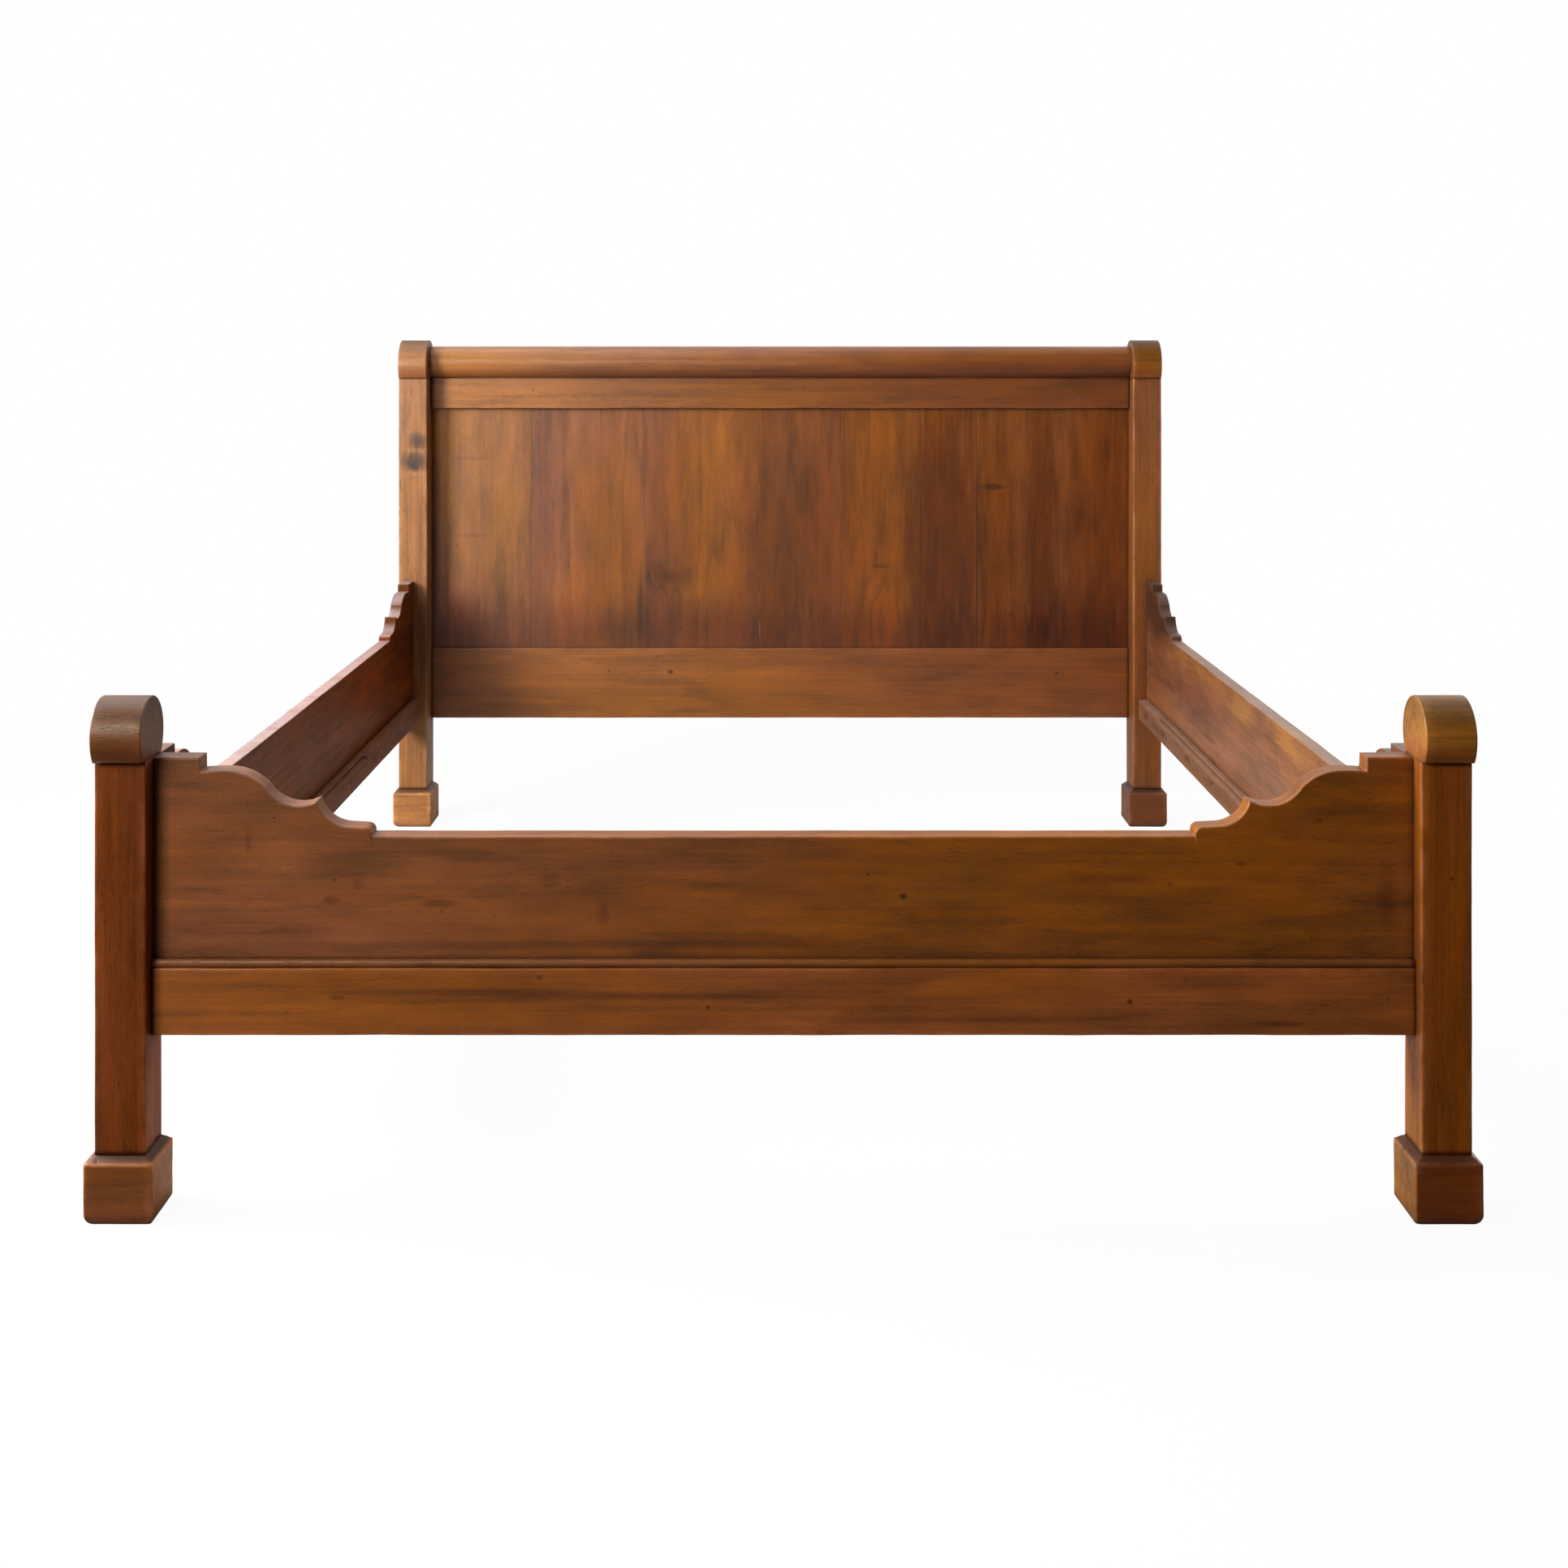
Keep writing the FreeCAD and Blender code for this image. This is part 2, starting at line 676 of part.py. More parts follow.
def board_tongue_spans():
    """Low and high Y of the tongues round the headboard's panel."""
    middle = HEAD_FRONT + S["board_setback"] + S["board_thickness"] / 2
    return centred(middle, S["board_tongue_thickness"])


def build_headboard():
    """The roll, both rails and the boards of the panel."""
    play = S["joint_clearance"]
    shoulder = S["tenon_shoulder"]
    reach = POST_INNER + S["head_tenon_length"]
    tongue_y = board_tongue_spans()
    groove_y = (tongue_y[0] - play, tongue_y[1] + play)
    groove_depth = S["board_tongue"] + S["mortise_end_gap"]
    rails = (
        ("head_top_rail", S["top_rail_setback"], TOP_RAIL_BOTTOM, S["head_seat_height"]),
        ("head_bottom_rail", S["bottom_rail_setback"], S["bottom_rail_bottom"], BOTTOM_RAIL_TOP),
    )
    made = {}
    for label, setback, bottom, top in rails:
        front = HEAD_FRONT + setback
        rail = Piece(label, (-POST_INNER, front, bottom))
        rail.add((-POST_INNER, front, bottom), (POST_INNER, HEAD_BACK, top))
        rail.round_over(S["rail_edge_radius"], lambda edge: along(edge, 0))
        low_y, high_y = tenon_spans(front, HEAD_BACK)
        rail.add((-reach, low_y, bottom + shoulder), (reach, high_y, top - shoulder))
        made[label] = rail
    made["head_top_rail"].cut(
        (-POST_INNER, groove_y[0], TOP_RAIL_BOTTOM - S["cut_overrun"]),
        (POST_INNER, groove_y[1], TOP_RAIL_BOTTOM + groove_depth))
    made["head_bottom_rail"].cut(
        (-POST_INNER, groove_y[0], BOTTOM_RAIL_TOP - groove_depth),
        (POST_INNER, groove_y[1], BOTTOM_RAIL_TOP + S["cut_overrun"]))

    build_boards(tongue_y, groove_y, groove_depth)

    roll_y = HEAD_FRONT + S["roll_setback"]
    roll = Piece("head_roll", (-POST_INNER, roll_y, S["head_seat_height"]))
    rise = S["roll_radius"] - S["roll_flat"]
    sketch_rolled(roll, S["roll_radius"], rise, POST_INNER * 2)

    dowels = []
    half_length = S["rail_dowel_length"] / 2
    spacing = POST_INNER * 2 / ROLL_DOWELS
    seat = S["head_seat_height"]
    for number in range(ROLL_DOWELS):
        x = -POST_INNER + spacing * (number + 0.5)
        roll.drill((x, roll_y, seat), (0, 0, 1), S["rail_dowel_radius"], half_length)
        made["head_top_rail"].drill((x, roll_y, seat), (0, 0, -1),
                                    S["rail_dowel_radius"], half_length)
        dowels.append(pin((x, roll_y, seat - half_length), (0, 0, 1),
                          S["rail_dowel_radius"], S["rail_dowel_length"]))
    group("roll_dowels", dowels)


def build_boards(tongue_y, groove_y, groove_depth):
    """Upright boards with a tongue on every edge but one, which has the groove."""
    front = HEAD_FRONT + S["board_setback"]
    back = front + S["board_thickness"]
    width = POST_INNER * 2
    tongue = S["board_tongue"]
    count = len(BOARD_EDGE_SHARES) - 1
    for number in range(count):
        left = -POST_INNER + width * BOARD_EDGE_SHARES[number]
        right = -POST_INNER + width * BOARD_EDGE_SHARES[number + 1]
        board = Piece(f"head_board_{number + 1}", (left, front, BOTTOM_RAIL_TOP))
        board.add((left, front, BOTTOM_RAIL_TOP), (right, back, TOP_RAIL_BOTTOM))
        first = number == 0
        tongue_left = left - tongue if first else left + groove_depth
        board.add((tongue_left, tongue_y[0], BOTTOM_RAIL_TOP - tongue),
                  (right + tongue, tongue_y[1], TOP_RAIL_BOTTOM + tongue))
        if not first:
            board.cut((left - S["cut_overrun"], groove_y[0],
                       BOTTOM_RAIL_TOP - tongue - S["cut_overrun"]),
                      (left + groove_depth, groove_y[1],
                       TOP_RAIL_BOTTOM + tongue + S["cut_overrun"]))


def build_head_posts():
    """The two high posts, with their caps and feet."""
    shoulder = S["tenon_shoulder"]
    play = S["joint_clearance"]
    tongue_y = board_tongue_spans()
    tongue = S["board_tongue"]
    top_y = tenon_spans(HEAD_FRONT + S["top_rail_setback"], HEAD_BACK)
    bottom_y = tenon_spans(HEAD_FRONT + S["bottom_rail_setback"], HEAD_BACK)
    for name, side in SIDES.items():
        post = build_post("head", name, side, HEAD_FRONT, S["head_post_depth"],
                          S["head_seat_height"])
        cut_mortise(post, side, (top_y[0], TOP_RAIL_BOTTOM + shoulder),
                    (top_y[1], S["head_seat_height"] - shoulder), S["head_tenon_length"])
        cut_mortise(post, side, (bottom_y[0], S["bottom_rail_bottom"] + shoulder),
                    (bottom_y[1], BOTTOM_RAIL_TOP - shoulder), S["head_tenon_length"])
        cut_mortise(post, side, (tongue_y[0], BOTTOM_RAIL_TOP - tongue - play),
                    (tongue_y[1], TOP_RAIL_BOTTOM + tongue + play), tongue)
        build_cap("head", name, side, HEAD_FRONT, S["head_cap_radius"], S["head_cap_rise"],
                  S["head_cap_setback"], S["head_seat_height"], S["head_post_depth"])
        build_block("head", name, side, HEAD_FRONT, S["head_post_depth"])


def build_side_rail(name, side):
    """A scalloped side rail, recessed at both ends for its hook plates."""
    low_x, high_x = between(side, SIDE_INNER, SIDE_OUTER)
    rail = Piece(f"side_rail_{name}", (low_x, FOOT_BACK, S["side_bottom"]))
    corners, bows = scalloped_outline(HEAD_FRONT - FOOT_BACK, S["side_height"],
                                      S["side_raised_height"], S["side_raised_at_foot"],
                                      S["side_raised_at_head"])
    rail.profile("YZ_Plane", corners, bows, S["side_thickness"], False)
    middle = SIDE_MIDDLE if side > 0 else -SIDE_MIDDLE
    half = S["plate_width"] / 2
    for face, outward in RAIL_ENDS.values():
        floor = toward(face, -outward, S["plate_thickness"])
        low_y, high_y = ordered(floor, toward(face, outward, S["cut_overrun"]))
        rail.cut((middle - half, low_y, PLATE_BOTTOM),
                 (middle + half, high_y, PLATE_BOTTOM + S["plate_height"]))
        for height in plate_screw_heights():
            rail.drill((middle, floor, height), (0, -outward, 0),
                       S["screw_radius"], S["screw_length"])
    return rail


def build_ledger(name, side, rail, stop):
    """The batten that carries the slats, with a stopped rebate in its top edge."""
    inner = SIDE_INNER - S["ledger_width"]
    low_x, high_x = between(side, inner, SIDE_INNER)
    bottom = S["side_bottom"] + S["ledger_rise"]
    top = bottom + S["ledger_height"]
    start = FOOT_BACK + S["ledger_foot_gap"]
    end = HEAD_FRONT - S["ledger_head_gap"]
    ledger = Piece(f"slat_ledger_{name}", (low_x, start, bottom))
    ledger.add((low_x, start, bottom), (high_x, end, top))
    inner_face = inner.number * side - low_x.number
    ledger.round_over(S["ledger_nose_radius"],
                      lambda edge: along(edge, 2)
                      and abs(edge.BoundBox.Center.x - inner_face) < SAME_PLACE)
    rebate_x = between(side, inner - S["cut_overrun"], inner + S["rebate_width"])
    ledger.cut((rebate_x[0], start + S["rebate_stop"], top - S["rebate_depth"]),
               (rebate_x[1], end - stop, top + S["cut_overrun"]))
    inward = (side, 0, 0)
    start_x = inner if side > 0 else -inner
    spacing = (end - start) / LEDGER_PEGS
    height = bottom + S["ledger_height"] / 2
    pegs = []
    for number in range(LEDGER_PEGS):
        place = (start_x, start + spacing * (number + 0.5), height)
        ledger.drill(place, inward, S["peg_radius"], S["peg_length"])
        rail.drill(place, inward, S["peg_radius"], S["peg_length"])
        pegs.append(pin(place, inward, S["peg_radius"], S["peg_length"]))
    return pegs


def build_hook_plate(end, name, side):
    """A flat plate let into the rail's end, with two downward hooks."""
    face, outward = RAIL_ENDS[end]
    middle = SIDE_MIDDLE if side > 0 else -SIDE_MIDDLE
    half = S["plate_width"] / 2
    back = toward(face, -outward, S["plate_thickness"])
    low_y, high_y = ordered(back, face)
    plate = Piece(f"hook_plate_{end}_{name}", (middle - half, low_y, PLATE_BOTTOM))
    plate.add((middle - half, low_y, PLATE_BOTTOM),
              (middle + half, high_y, PLATE_BOTTOM + S["plate_height"]))
    half_hook = S["hook_thickness"] / 2
    lip_near = toward(toward(face, outward, S["plate_thickness"]), outward, S["joint_clearance"])
    lip_far = toward(lip_near, outward, S["hook_lip_depth"])
    neck_y = ordered(face, lip_far)
    lip_y = ordered(lip_near, lip_far)
    for neck in hook_heights():
        top = neck + S["hook_neck_height"]
        plate.add((middle - half_hook, neck_y[0], neck), (middle + half_hook, neck_y[1], top))
        plate.add((middle - half_hook, lip_y[0], neck - S["hook_lip_drop"]),
                  (middle + half_hook, lip_y[1], top))
    drill_plate(plate, middle, face, -outward)
    return plate


def drill_plate(plate, middle, face, into):
    """Countersunk holes for a plate's two screws, from its open face."""
    for height in plate_screw_heights():
        place = (middle, face, height)
        plate.drill(place, (0, into, 0), S["screw_radius"], S["plate_thickness"])
        plate.countersink(place, (0, into, 0), S["screw_head_radius"], S["screw_radius"],
                          S["screw_head_height"])


def build_catch_plate(end, name, side):
    """A flat plate let into the post, with a slot for each hook."""
    face, inward = RAIL_ENDS[end]
    middle = SIDE_MIDDLE if side > 0 else -SIDE_MIDDLE
    half = S["plate_width"] / 2
    low_y, high_y = ordered(face, toward(face, inward, S["plate_thickness"]))
    plate = Piece(f"catch_plate_{end}_{name}", (middle - half, low_y, PLATE_BOTTOM))
    plate.add((middle - half, low_y, PLATE_BOTTOM),
              (middle + half, high_y, PLATE_BOTTOM + S["plate_height"]))
    room = S["hook_thickness"] / 2 + S["joint_clearance"]
    for neck in hook_heights():
        top = neck + S["hook_neck_height"] + S["hook_lip_drop"] + S["hook_play"]
        plate.cut((middle - room, low_y, neck), (middle + room, high_y, top))
    drill_plate(plate, middle, face, inward)
    return plate


def screw(place, direction):
    """A countersunk wood screw, from the face that its head lies in."""
    shank = pin(place, direction, S["screw_radius"], S["screw_length"])
    head = document.addObject("Part::Cone", "Head")
    bind(head, "Radius1", S["screw_head_radius"])
    bind(head, "Radius2", S["screw_radius"])
    bind(head, "Height", S["screw_head_height"])
    bind_place(head, place, turn_to(direction))
    whole = document.addObject("Part::Fuse", "Screw")
    whole.Base = shank
    whole.Tool = head
    return whole


def build_fittings():
    """Hook plates, catch plates and their screws at all four corners."""
    hook_screws = []
    catch_screws = []
    for name, side in SIDES.items():
        middle = SIDE_MIDDLE if side > 0 else -SIDE_MIDDLE
        for end, (face, outward) in RAIL_ENDS.items():
            build_hook_plate(end, name, side)
            build_catch_plate(end, name, side)
            for height in plate_screw_heights():
                place = (middle, face, height)
                hook_screws.append(screw(place, (0, -outward, 0)))
                catch_screws.append(screw(place, (0, outward, 0)))
    group("hook_plate_screws", hook_screws)
    group("catch_plate_screws", catch_screws)


def build_post_dowels():
    """Dowels that hold the caps and the feet to their posts."""
    caps = []
    blocks = []
    ends = (
        (FOOT_FRONT + S["foot_post_depth"] / 2, S["foot_seat_height"]),
        (HEAD_FRONT + S["head_post_depth"] / 2, S["head_seat_height"]),
    )
    for side in SIDES.values():
        x = POST_MIDDLE if side > 0 else -POST_MIDDLE
        for y, seat in ends:
            caps.append(pin((x, y, seat - S["cap_dowel_length"] / 2), (0, 0, 1),
                            S["cap_dowel_radius"], S["cap_dowel_length"]))
            blocks.append(pin((x, y, S["block_height"] - S["block_dowel_length"] / 2), (0, 0, 1),
                              S["block_dowel_radius"], S["block_dowel_length"]))
    group("cap_dowels", caps)
    group("block_dowels", blocks)


def build_sides():
    """Both side rails with their ledgers and pegs."""
    stops = {"left": S["left_rebate_stop"], "right": S["right_rebate_stop"]}
    pegs = []
    for name, side in SIDES.items():
        rail = build_side_rail(name, side)
        pegs += build_ledger(name, side, rail, stops[name])
    group("ledger_pegs", pegs)


def check_model():
    """Stop if any feature failed or any piece is empty or broken."""
    for item in document.Objects:
        if "Invalid" in item.State or "Error" in item.State:
            raise RuntimeError(f"{item.Label} failed: {item.State}")
    for node in nodes:
        if node.Shape.isNull() or not node.Shape.isValid():
            raise RuntimeError(f"{node.Label} has no sound shape")


def write_parts():
    os.makedirs("parts", exist_ok=True)
    for node in nodes:
        node.Shape.exportStep(f"parts/{node.Label}.step")


build_footboard()
build_foot_posts()
build_headboard()
build_head_posts()
build_sides()
build_fittings()
build_post_dowels()
document.recompute()
check_model()
write_parts()
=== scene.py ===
"""Old walnut double bed: worn wood surfaces, wax finish and studio stage.

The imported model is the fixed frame. Every visible wooden piece gets a surface of its own
with worn edges, worked out in the same place, and a walnut material whose grain runs the
way the wood was cut. Metres. +X is to the right, +Y towards the headboard, +Z up.
"""

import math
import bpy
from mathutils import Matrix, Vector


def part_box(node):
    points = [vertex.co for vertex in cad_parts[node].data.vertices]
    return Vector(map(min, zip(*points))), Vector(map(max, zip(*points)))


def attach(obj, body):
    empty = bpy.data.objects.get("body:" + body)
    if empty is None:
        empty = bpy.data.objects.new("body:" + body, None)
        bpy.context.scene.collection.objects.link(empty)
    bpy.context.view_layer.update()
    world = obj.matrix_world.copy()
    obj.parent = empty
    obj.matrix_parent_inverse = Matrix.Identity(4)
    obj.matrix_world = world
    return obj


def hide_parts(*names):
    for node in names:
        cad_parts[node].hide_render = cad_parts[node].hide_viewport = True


bl_info = {
    "name": "Old walnut double bed",
    "version": (1, 0, 0),
    "blender": (4, 5, 0),
    "location": "3D View > Sidebar > Walnut Bed",
    "description": "Worn walnut surfaces, wax finish and a plain studio for a double bed",
    "category": "Object",
}

import bpy
import numpy as np

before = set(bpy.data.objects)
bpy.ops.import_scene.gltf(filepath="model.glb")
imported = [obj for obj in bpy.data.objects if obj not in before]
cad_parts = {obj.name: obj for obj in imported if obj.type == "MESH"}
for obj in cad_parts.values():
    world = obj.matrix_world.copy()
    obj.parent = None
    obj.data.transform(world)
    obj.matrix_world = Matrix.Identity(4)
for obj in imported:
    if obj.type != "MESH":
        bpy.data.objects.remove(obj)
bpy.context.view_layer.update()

BODY = "root"
X_AXIS, Y_AXIS, Z_AXIS = 0, 1, 2

# The scallop down from a raised end: shares of the ogee's length and of the dip,
# and how far each stretch bows out, as a share of its chord.
OGEE_SHARES = np.array([
    (0.0, 0.825), (0.14, 0.835), (0.374, 0.624), (0.679, 0.449),
    (0.864, 0.125), (0.967, 0.112), (1.0, 0.0),
])
OGEE_BOWS = (0.012, 0.1, -0.2, -0.17, 0.0, 0.2)

# How many points the rounding of an edge has on a bar, on a ledger and on a scalloped board.
BAR_ARC = 6
LEDGER_ARC = 5
SCALLOP_ARC = 7

# Metres over which the wear of an edge changes, and how far rails go into the posts.
WEAR_LENGTH = 0.35
INTO_POST = 0.001


def srgb(red, green, blue):
    """A colour as the eye reads it, 0 to 255, as the linear colour that shaders use."""
    share = np.array([red, green, blue]) / 255.0
    low = share / 12.92
    high = ((share + 0.055) / 1.055) ** 2.4
    return tuple(float(part) for part in np.where(share <= 0.04045, low, high)) + (1.0,)


# Colours that no setting changes.
WHITE = (1.0, 1.0, 1.0, 1.0)
# Dark wax in corners and recesses, which also stands for painted shade there.
DARK_WAX_AND_SHADE = srgb(34, 15, 7)
DARK_SPOT = srgb(48, 24, 12)
RUST = srgb(92, 74, 58)


# Settings that a user would change.
class BedWear(bpy.types.PropertyGroup):
    """How worn the edges and faces of the wood are."""

    edge_radius: bpy.props.FloatProperty(
        name="Edge radius", description="Rounding of a rail's edges; other pieces take a share of it",
        default=0.002, min=0.0005, max=0.008, unit="LENGTH")
    edge_change: bpy.props.FloatProperty(
        name="Edge change", description="How much the rounding varies along an edge",
        default=0.35, min=0.0, max=0.9)
    face_wave: bpy.props.FloatProperty(
        name="Face wave", description="How far planed faces wander from flat",
        default=0.00035, min=0.0, max=0.002, unit="LENGTH")


class BedColours(bpy.types.PropertyGroup):
    """Colours of the walnut and of the steel."""

    walnut: bpy.props.FloatVectorProperty(
        name="Walnut", description="Middle colour of the walnut; each piece tints it a little",
        default=srgb(126, 67, 24), size=4, subtype="COLOR", min=0.0, max=1.0)
    figure: bpy.props.FloatProperty(
        name="Figure", description="How far the light and dark figure go from the middle colour",
        default=0.48, min=0.0, max=0.9)
    # Pale colour of faces that look up: partly dustiness, partly a painted sheen.
    dust_and_sheen: bpy.props.FloatVectorProperty(
        name="Dust", description="Pale worn and dusty wood on faces that look up",
        default=srgb(214, 176, 156), size=4, subtype="COLOR", min=0.0, max=1.0)
    steel: bpy.props.FloatVectorProperty(
        name="Steel", description="Dull forged steel of the hidden fittings",
        default=srgb(150, 145, 138), size=4, subtype="COLOR", min=0.0, max=1.0)


class BedStage(bpy.types.PropertyGroup):
    """Camera, lamps and room light."""

    lens: bpy.props.FloatProperty(
        name="Lens", description="Focal length on a 36 mm sensor",
        default=46.94, min=10.0, max=200.0, subtype="DISTANCE_CAMERA")
    camera_place: bpy.props.FloatVectorProperty(
        name="Camera place", description="Where the camera stands, level and square to the bed",
        default=(-0.0093, -3.578, 1.0926), size=3, subtype="TRANSLATION", unit="LENGTH")
    shift: bpy.props.FloatVectorProperty(
        name="Shift", description="Sideways and upward shift of the frame",
        default=(0.0052, -0.286), size=2)
    window_power: bpy.props.FloatProperty(
        name="Window power", description="Lamp on the left, beside the front half of the bed",
        default=106.0, min=0.0, max=500.0, unit="POWER")
    fill_power: bpy.props.FloatProperty(
        name="Fill power", description="Broad lamp in front, a little to the left",
        default=74.0, min=0.0, max=500.0, unit="POWER")
    wall_power: bpy.props.FloatProperty(
        name="Wall power", description="Weak warm light thrown back by a wall on the right",
        default=30.0, min=0.0, max=500.0, unit="POWER")
    ceiling_power: bpy.props.FloatProperty(
        name="Ceiling power", description="Wide lamp overhead",
        default=45.0, min=0.0, max=500.0, unit="POWER")
    room_light: bpy.props.FloatProperty(
        name="Room light", description="Soft light, most of it from behind and above the bed",
        default=0.4, min=0.0, max=2.0)


def wear():
    return bpy.context.scene.bed_wear


def colours():
    return bpy.context.scene.bed_colours


def stage():
    return bpy.context.scene.bed_stage


# Places and objects.
def box_of(node):
    """Both corners of a node's box, as arrays."""
    return [np.array(corner, dtype=float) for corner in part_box(node)]


def middle_of(node):
    """The middle of a node's box, as its places along X and Y."""
    low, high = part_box(node)
    return tuple((low[axis] + high[axis]) / 2.0 for axis in range(2))


def half_bay():
    """Half the width between the posts, which the bead fills."""
    return float(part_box("foot_bead")[1][0])


def add_object(name, data):
    """A new object, linked to the scene."""
    item = bpy.data.objects.new(name, data)
    bpy.context.scene.collection.objects.link(item)
    return item


# Surfaces.
def slow_noise(places, seed, length):
    """Smooth noise between -1 and 1 along a line: five sines of falling wavelength whose
    phases come from the seed, added up and divided by the sum of their weights."""
    random = np.random.default_rng(seed)
    total = np.zeros_like(places, dtype=float)
    weights = 0.0
    for octave in range(5):
        weight = 0.7 ** octave
        phase = random.uniform(0.0, 2.0 * math.pi)
        stretch = random.uniform(0.8, 1.25)
        total += weight * np.sin(places * 2.0 * math.pi * 1.7 ** octave * stretch / length + phase)
        weights += weight
    return total / weights


def wander(points, seed, amount):
    """Move every point by slow noise of its place, so that flat faces read as hand planed.
    Along each axis it moves by three sines of how far the point lies along random ways. The
    shorter a sine's wavelength, the less it moves."""
    random = np.random.default_rng(seed)
    moved = points.copy()
    for axis in range(3):
        for length in (0.31, 0.13, 0.055):
            turns = random.normal(size=3)
            turns /= np.linalg.norm(turns)
            phase = random.uniform(0.0, 2.0 * math.pi)
            wave = np.sin(points @ turns * 2.0 * math.pi / length + phase)
            moved[..., axis] += amount * 0.5 * wave * (length / 0.31) ** 0.7
    return moved


def worn_radii(places, seed, share):
    """Rounding of an edge along its length: a share of the set radius, larger where hands and
    cloths rubbed it, smaller where they didn't."""
    change = wear().edge_change * slow_noise(places, seed, WEAR_LENGTH)
    return wear().edge_radius * share * (1.0 + change)


def add_surface(node, rings, edge, material):
    """The worn surface of a node: a closed mesh from rings of points, (ring, point, xyz).
    Neighbouring rings are joined by quads, and the first and last ring are closed to their
    middles. Edge, 0 to 1, tells how much each point lies on a worn edge. The signed volume
    tells whether the faces point outwards, and if not, their order is turned round."""
    count, size = rings.shape[:2]
    middles = np.stack([rings[0].mean(axis=0), rings[-1].mean(axis=0)])
    points = np.concatenate([rings.reshape(-1, 3), middles])
    index = np.arange(count * size).reshape(count, size)
    after = np.roll(index, -1, axis=1)
    quads = np.stack([index[:-1], after[:-1], after[1:], index[1:]], axis=-1).reshape(-1, 4)
    first = np.stack([after[0], index[0], np.full(size, count * size)], axis=-1)
    last = np.stack([index[-1], after[-1], np.full(size, count * size + 1)], axis=-1)
    triangles = np.concatenate([first, last])
    fans = np.concatenate([quads[:, [0, 1, 2]], quads[:, [0, 2, 3]], triangles])
    corner = points[fans]
    volume = np.einsum("ij,ij->i", corner[:, 0], np.cross(corner[:, 1], corner[:, 2])).sum()
    if volume < 0.0:
        quads = quads[:, ::-1]
        triangles = triangles[:, ::-1]
    mesh = bpy.data.meshes.new(node + "_worn")
    mesh.vertices.add(len(points))
    mesh.vertices.foreach_set("co", points.astype(np.float32).ravel())
    loops = np.concatenate([quads.ravel(), triangles.ravel()])
    sizes = np.concatenate([np.full(len(quads), 4), np.full(len(triangles), 3)])
    mesh.loops.add(len(loops))
    mesh.loops.foreach_set("vertex_index", loops.astype(np.int32))
    mesh.polygons.add(len(sizes))
    mesh.polygons.foreach_set("loop_start", (np.cumsum(sizes) - sizes).astype(np.int32))
    mesh.polygons.foreach_set("loop_total", sizes.astype(np.int32))
    mesh.update()
    mesh.polygons.foreach_set("use_smooth", np.ones(len(sizes), dtype=bool))
    rub = mesh.attributes.new("rub", "FLOAT", "POINT")
    rub.data.foreach_set("value", np.concatenate([edge.ravel(), [0.0, 0.0]]).astype(np.float32))
    mesh.validate()
    mesh.materials.append(material)
    piece = add_object(node + "_worn", mesh)
    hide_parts(node)
    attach(piece, BODY)


def rounded_ring(low, high, radii, side_counts):
    """Points round a rectangle with rounded corners, for many rings at once. Low and high are
    (ring, 2) corners and radii (ring, 4). Each corner is a quarter circle about its own centre,
    and the sides between the corners are straight, with a point close to each corner.
    Returns the points (ring, point, 2) and how much each point is on an edge, 0 to 1."""
    arcs = []
    for corner, signs in enumerate(((-1, -1), (1, -1), (1, 1), (-1, 1))):
        radius = radii[:, corner]
        centre = [
            low[:, axis] + radius if signs[axis] < 0 else high[:, axis] - radius
            for axis in range(2)
        ]
        angles = np.radians(180.0 + 90.0 * corner + np.linspace(0.0, 90.0, BAR_ARC))
        arcs.append(np.stack([
            centre[0][:, None] + radius[:, None] * np.cos(angles),
            centre[1][:, None] + radius[:, None] * np.sin(angles),
        ], axis=-1))
    parts = []
    edges = []
    for corner, arc in enumerate(arcs):
        start = arc[:, -1]
        way = arcs[(corner + 1) % 4][:, 0] - start
        span = np.linalg.norm(way, axis=-1).mean()
        hold = min(0.2, 0.0025 / max(span, 0.006))
        steps = np.linspace(hold, 1.0 - hold, side_counts[corner])
        near = np.zeros(len(steps))
        near[[0, -1]] = 0.45
        parts += [arc, start[:, None] + way[:, None] * steps[None, :, None]]
        edges += [np.ones(BAR_ARC), near]
    ring = np.concatenate(parts, axis=1)
    return ring, np.broadcast_to(np.concatenate(edges), ring.shape[:2])


def rounded_outline(corners, radius, side_count):
    """Rings of points from the corners (ring, corner, 2) of an outline. Each corner becomes a
    short curve between the points at the radius before and after it, and the sides between
    them are straight."""
    count = corners.shape[1]
    share = np.linspace(0.0, 1.0, LEDGER_ARC)[None, :, None]
    parts = []
    edges = []
    ends = []
    for number in range(count):
        here = corners[:, number]
        before = corners[:, number - 1] - here
        behind = corners[:, (number + 1) % count] - here
        spans = [np.linalg.norm(way, axis=-1, keepdims=True) for way in (before, behind)]
        reach = np.minimum(radius, 0.45 * np.minimum(*spans))
        start = here + before / np.maximum(spans[0], 1e-9) * reach
        end = here + behind / np.maximum(spans[1], 1e-9) * reach
        curve = ((1.0 - share) ** 2 * start[:, None] + 2.0 * share * (1.0 - share) * here[:, None]
                 + share ** 2 * end[:, None])
        ends.append((curve, start, end))
    for number in range(count):
        curve, start, end = ends[number]
        following = ends[(number + 1) % count][1]
        steps = np.linspace(0.0, 1.0, side_count + 2)[1:-1][None, :, None]
        parts += [curve, end[:, None] + (following - end)[:, None] * steps]
        edges += [np.ones(LEDGER_ARC), np.zeros(side_count)]
    ring = np.concatenate(parts, axis=1)
    return ring, np.broadcast_to(np.concatenate(edges), ring.shape[:2])


def carry(ring, places, axis):
    """Place rings of points (ring, point, 2) along an axis: the two numbers of a point are its
    places on the other two axes, in their order."""
    others = [number for number in range(3) if number != axis]
    points = np.zeros(ring.shape[:2] + (3,))
    points[..., axis] = places[:, None]
    points[..., others[0]] = ring[..., 0]
    points[..., others[1]] = ring[..., 1]
    return points


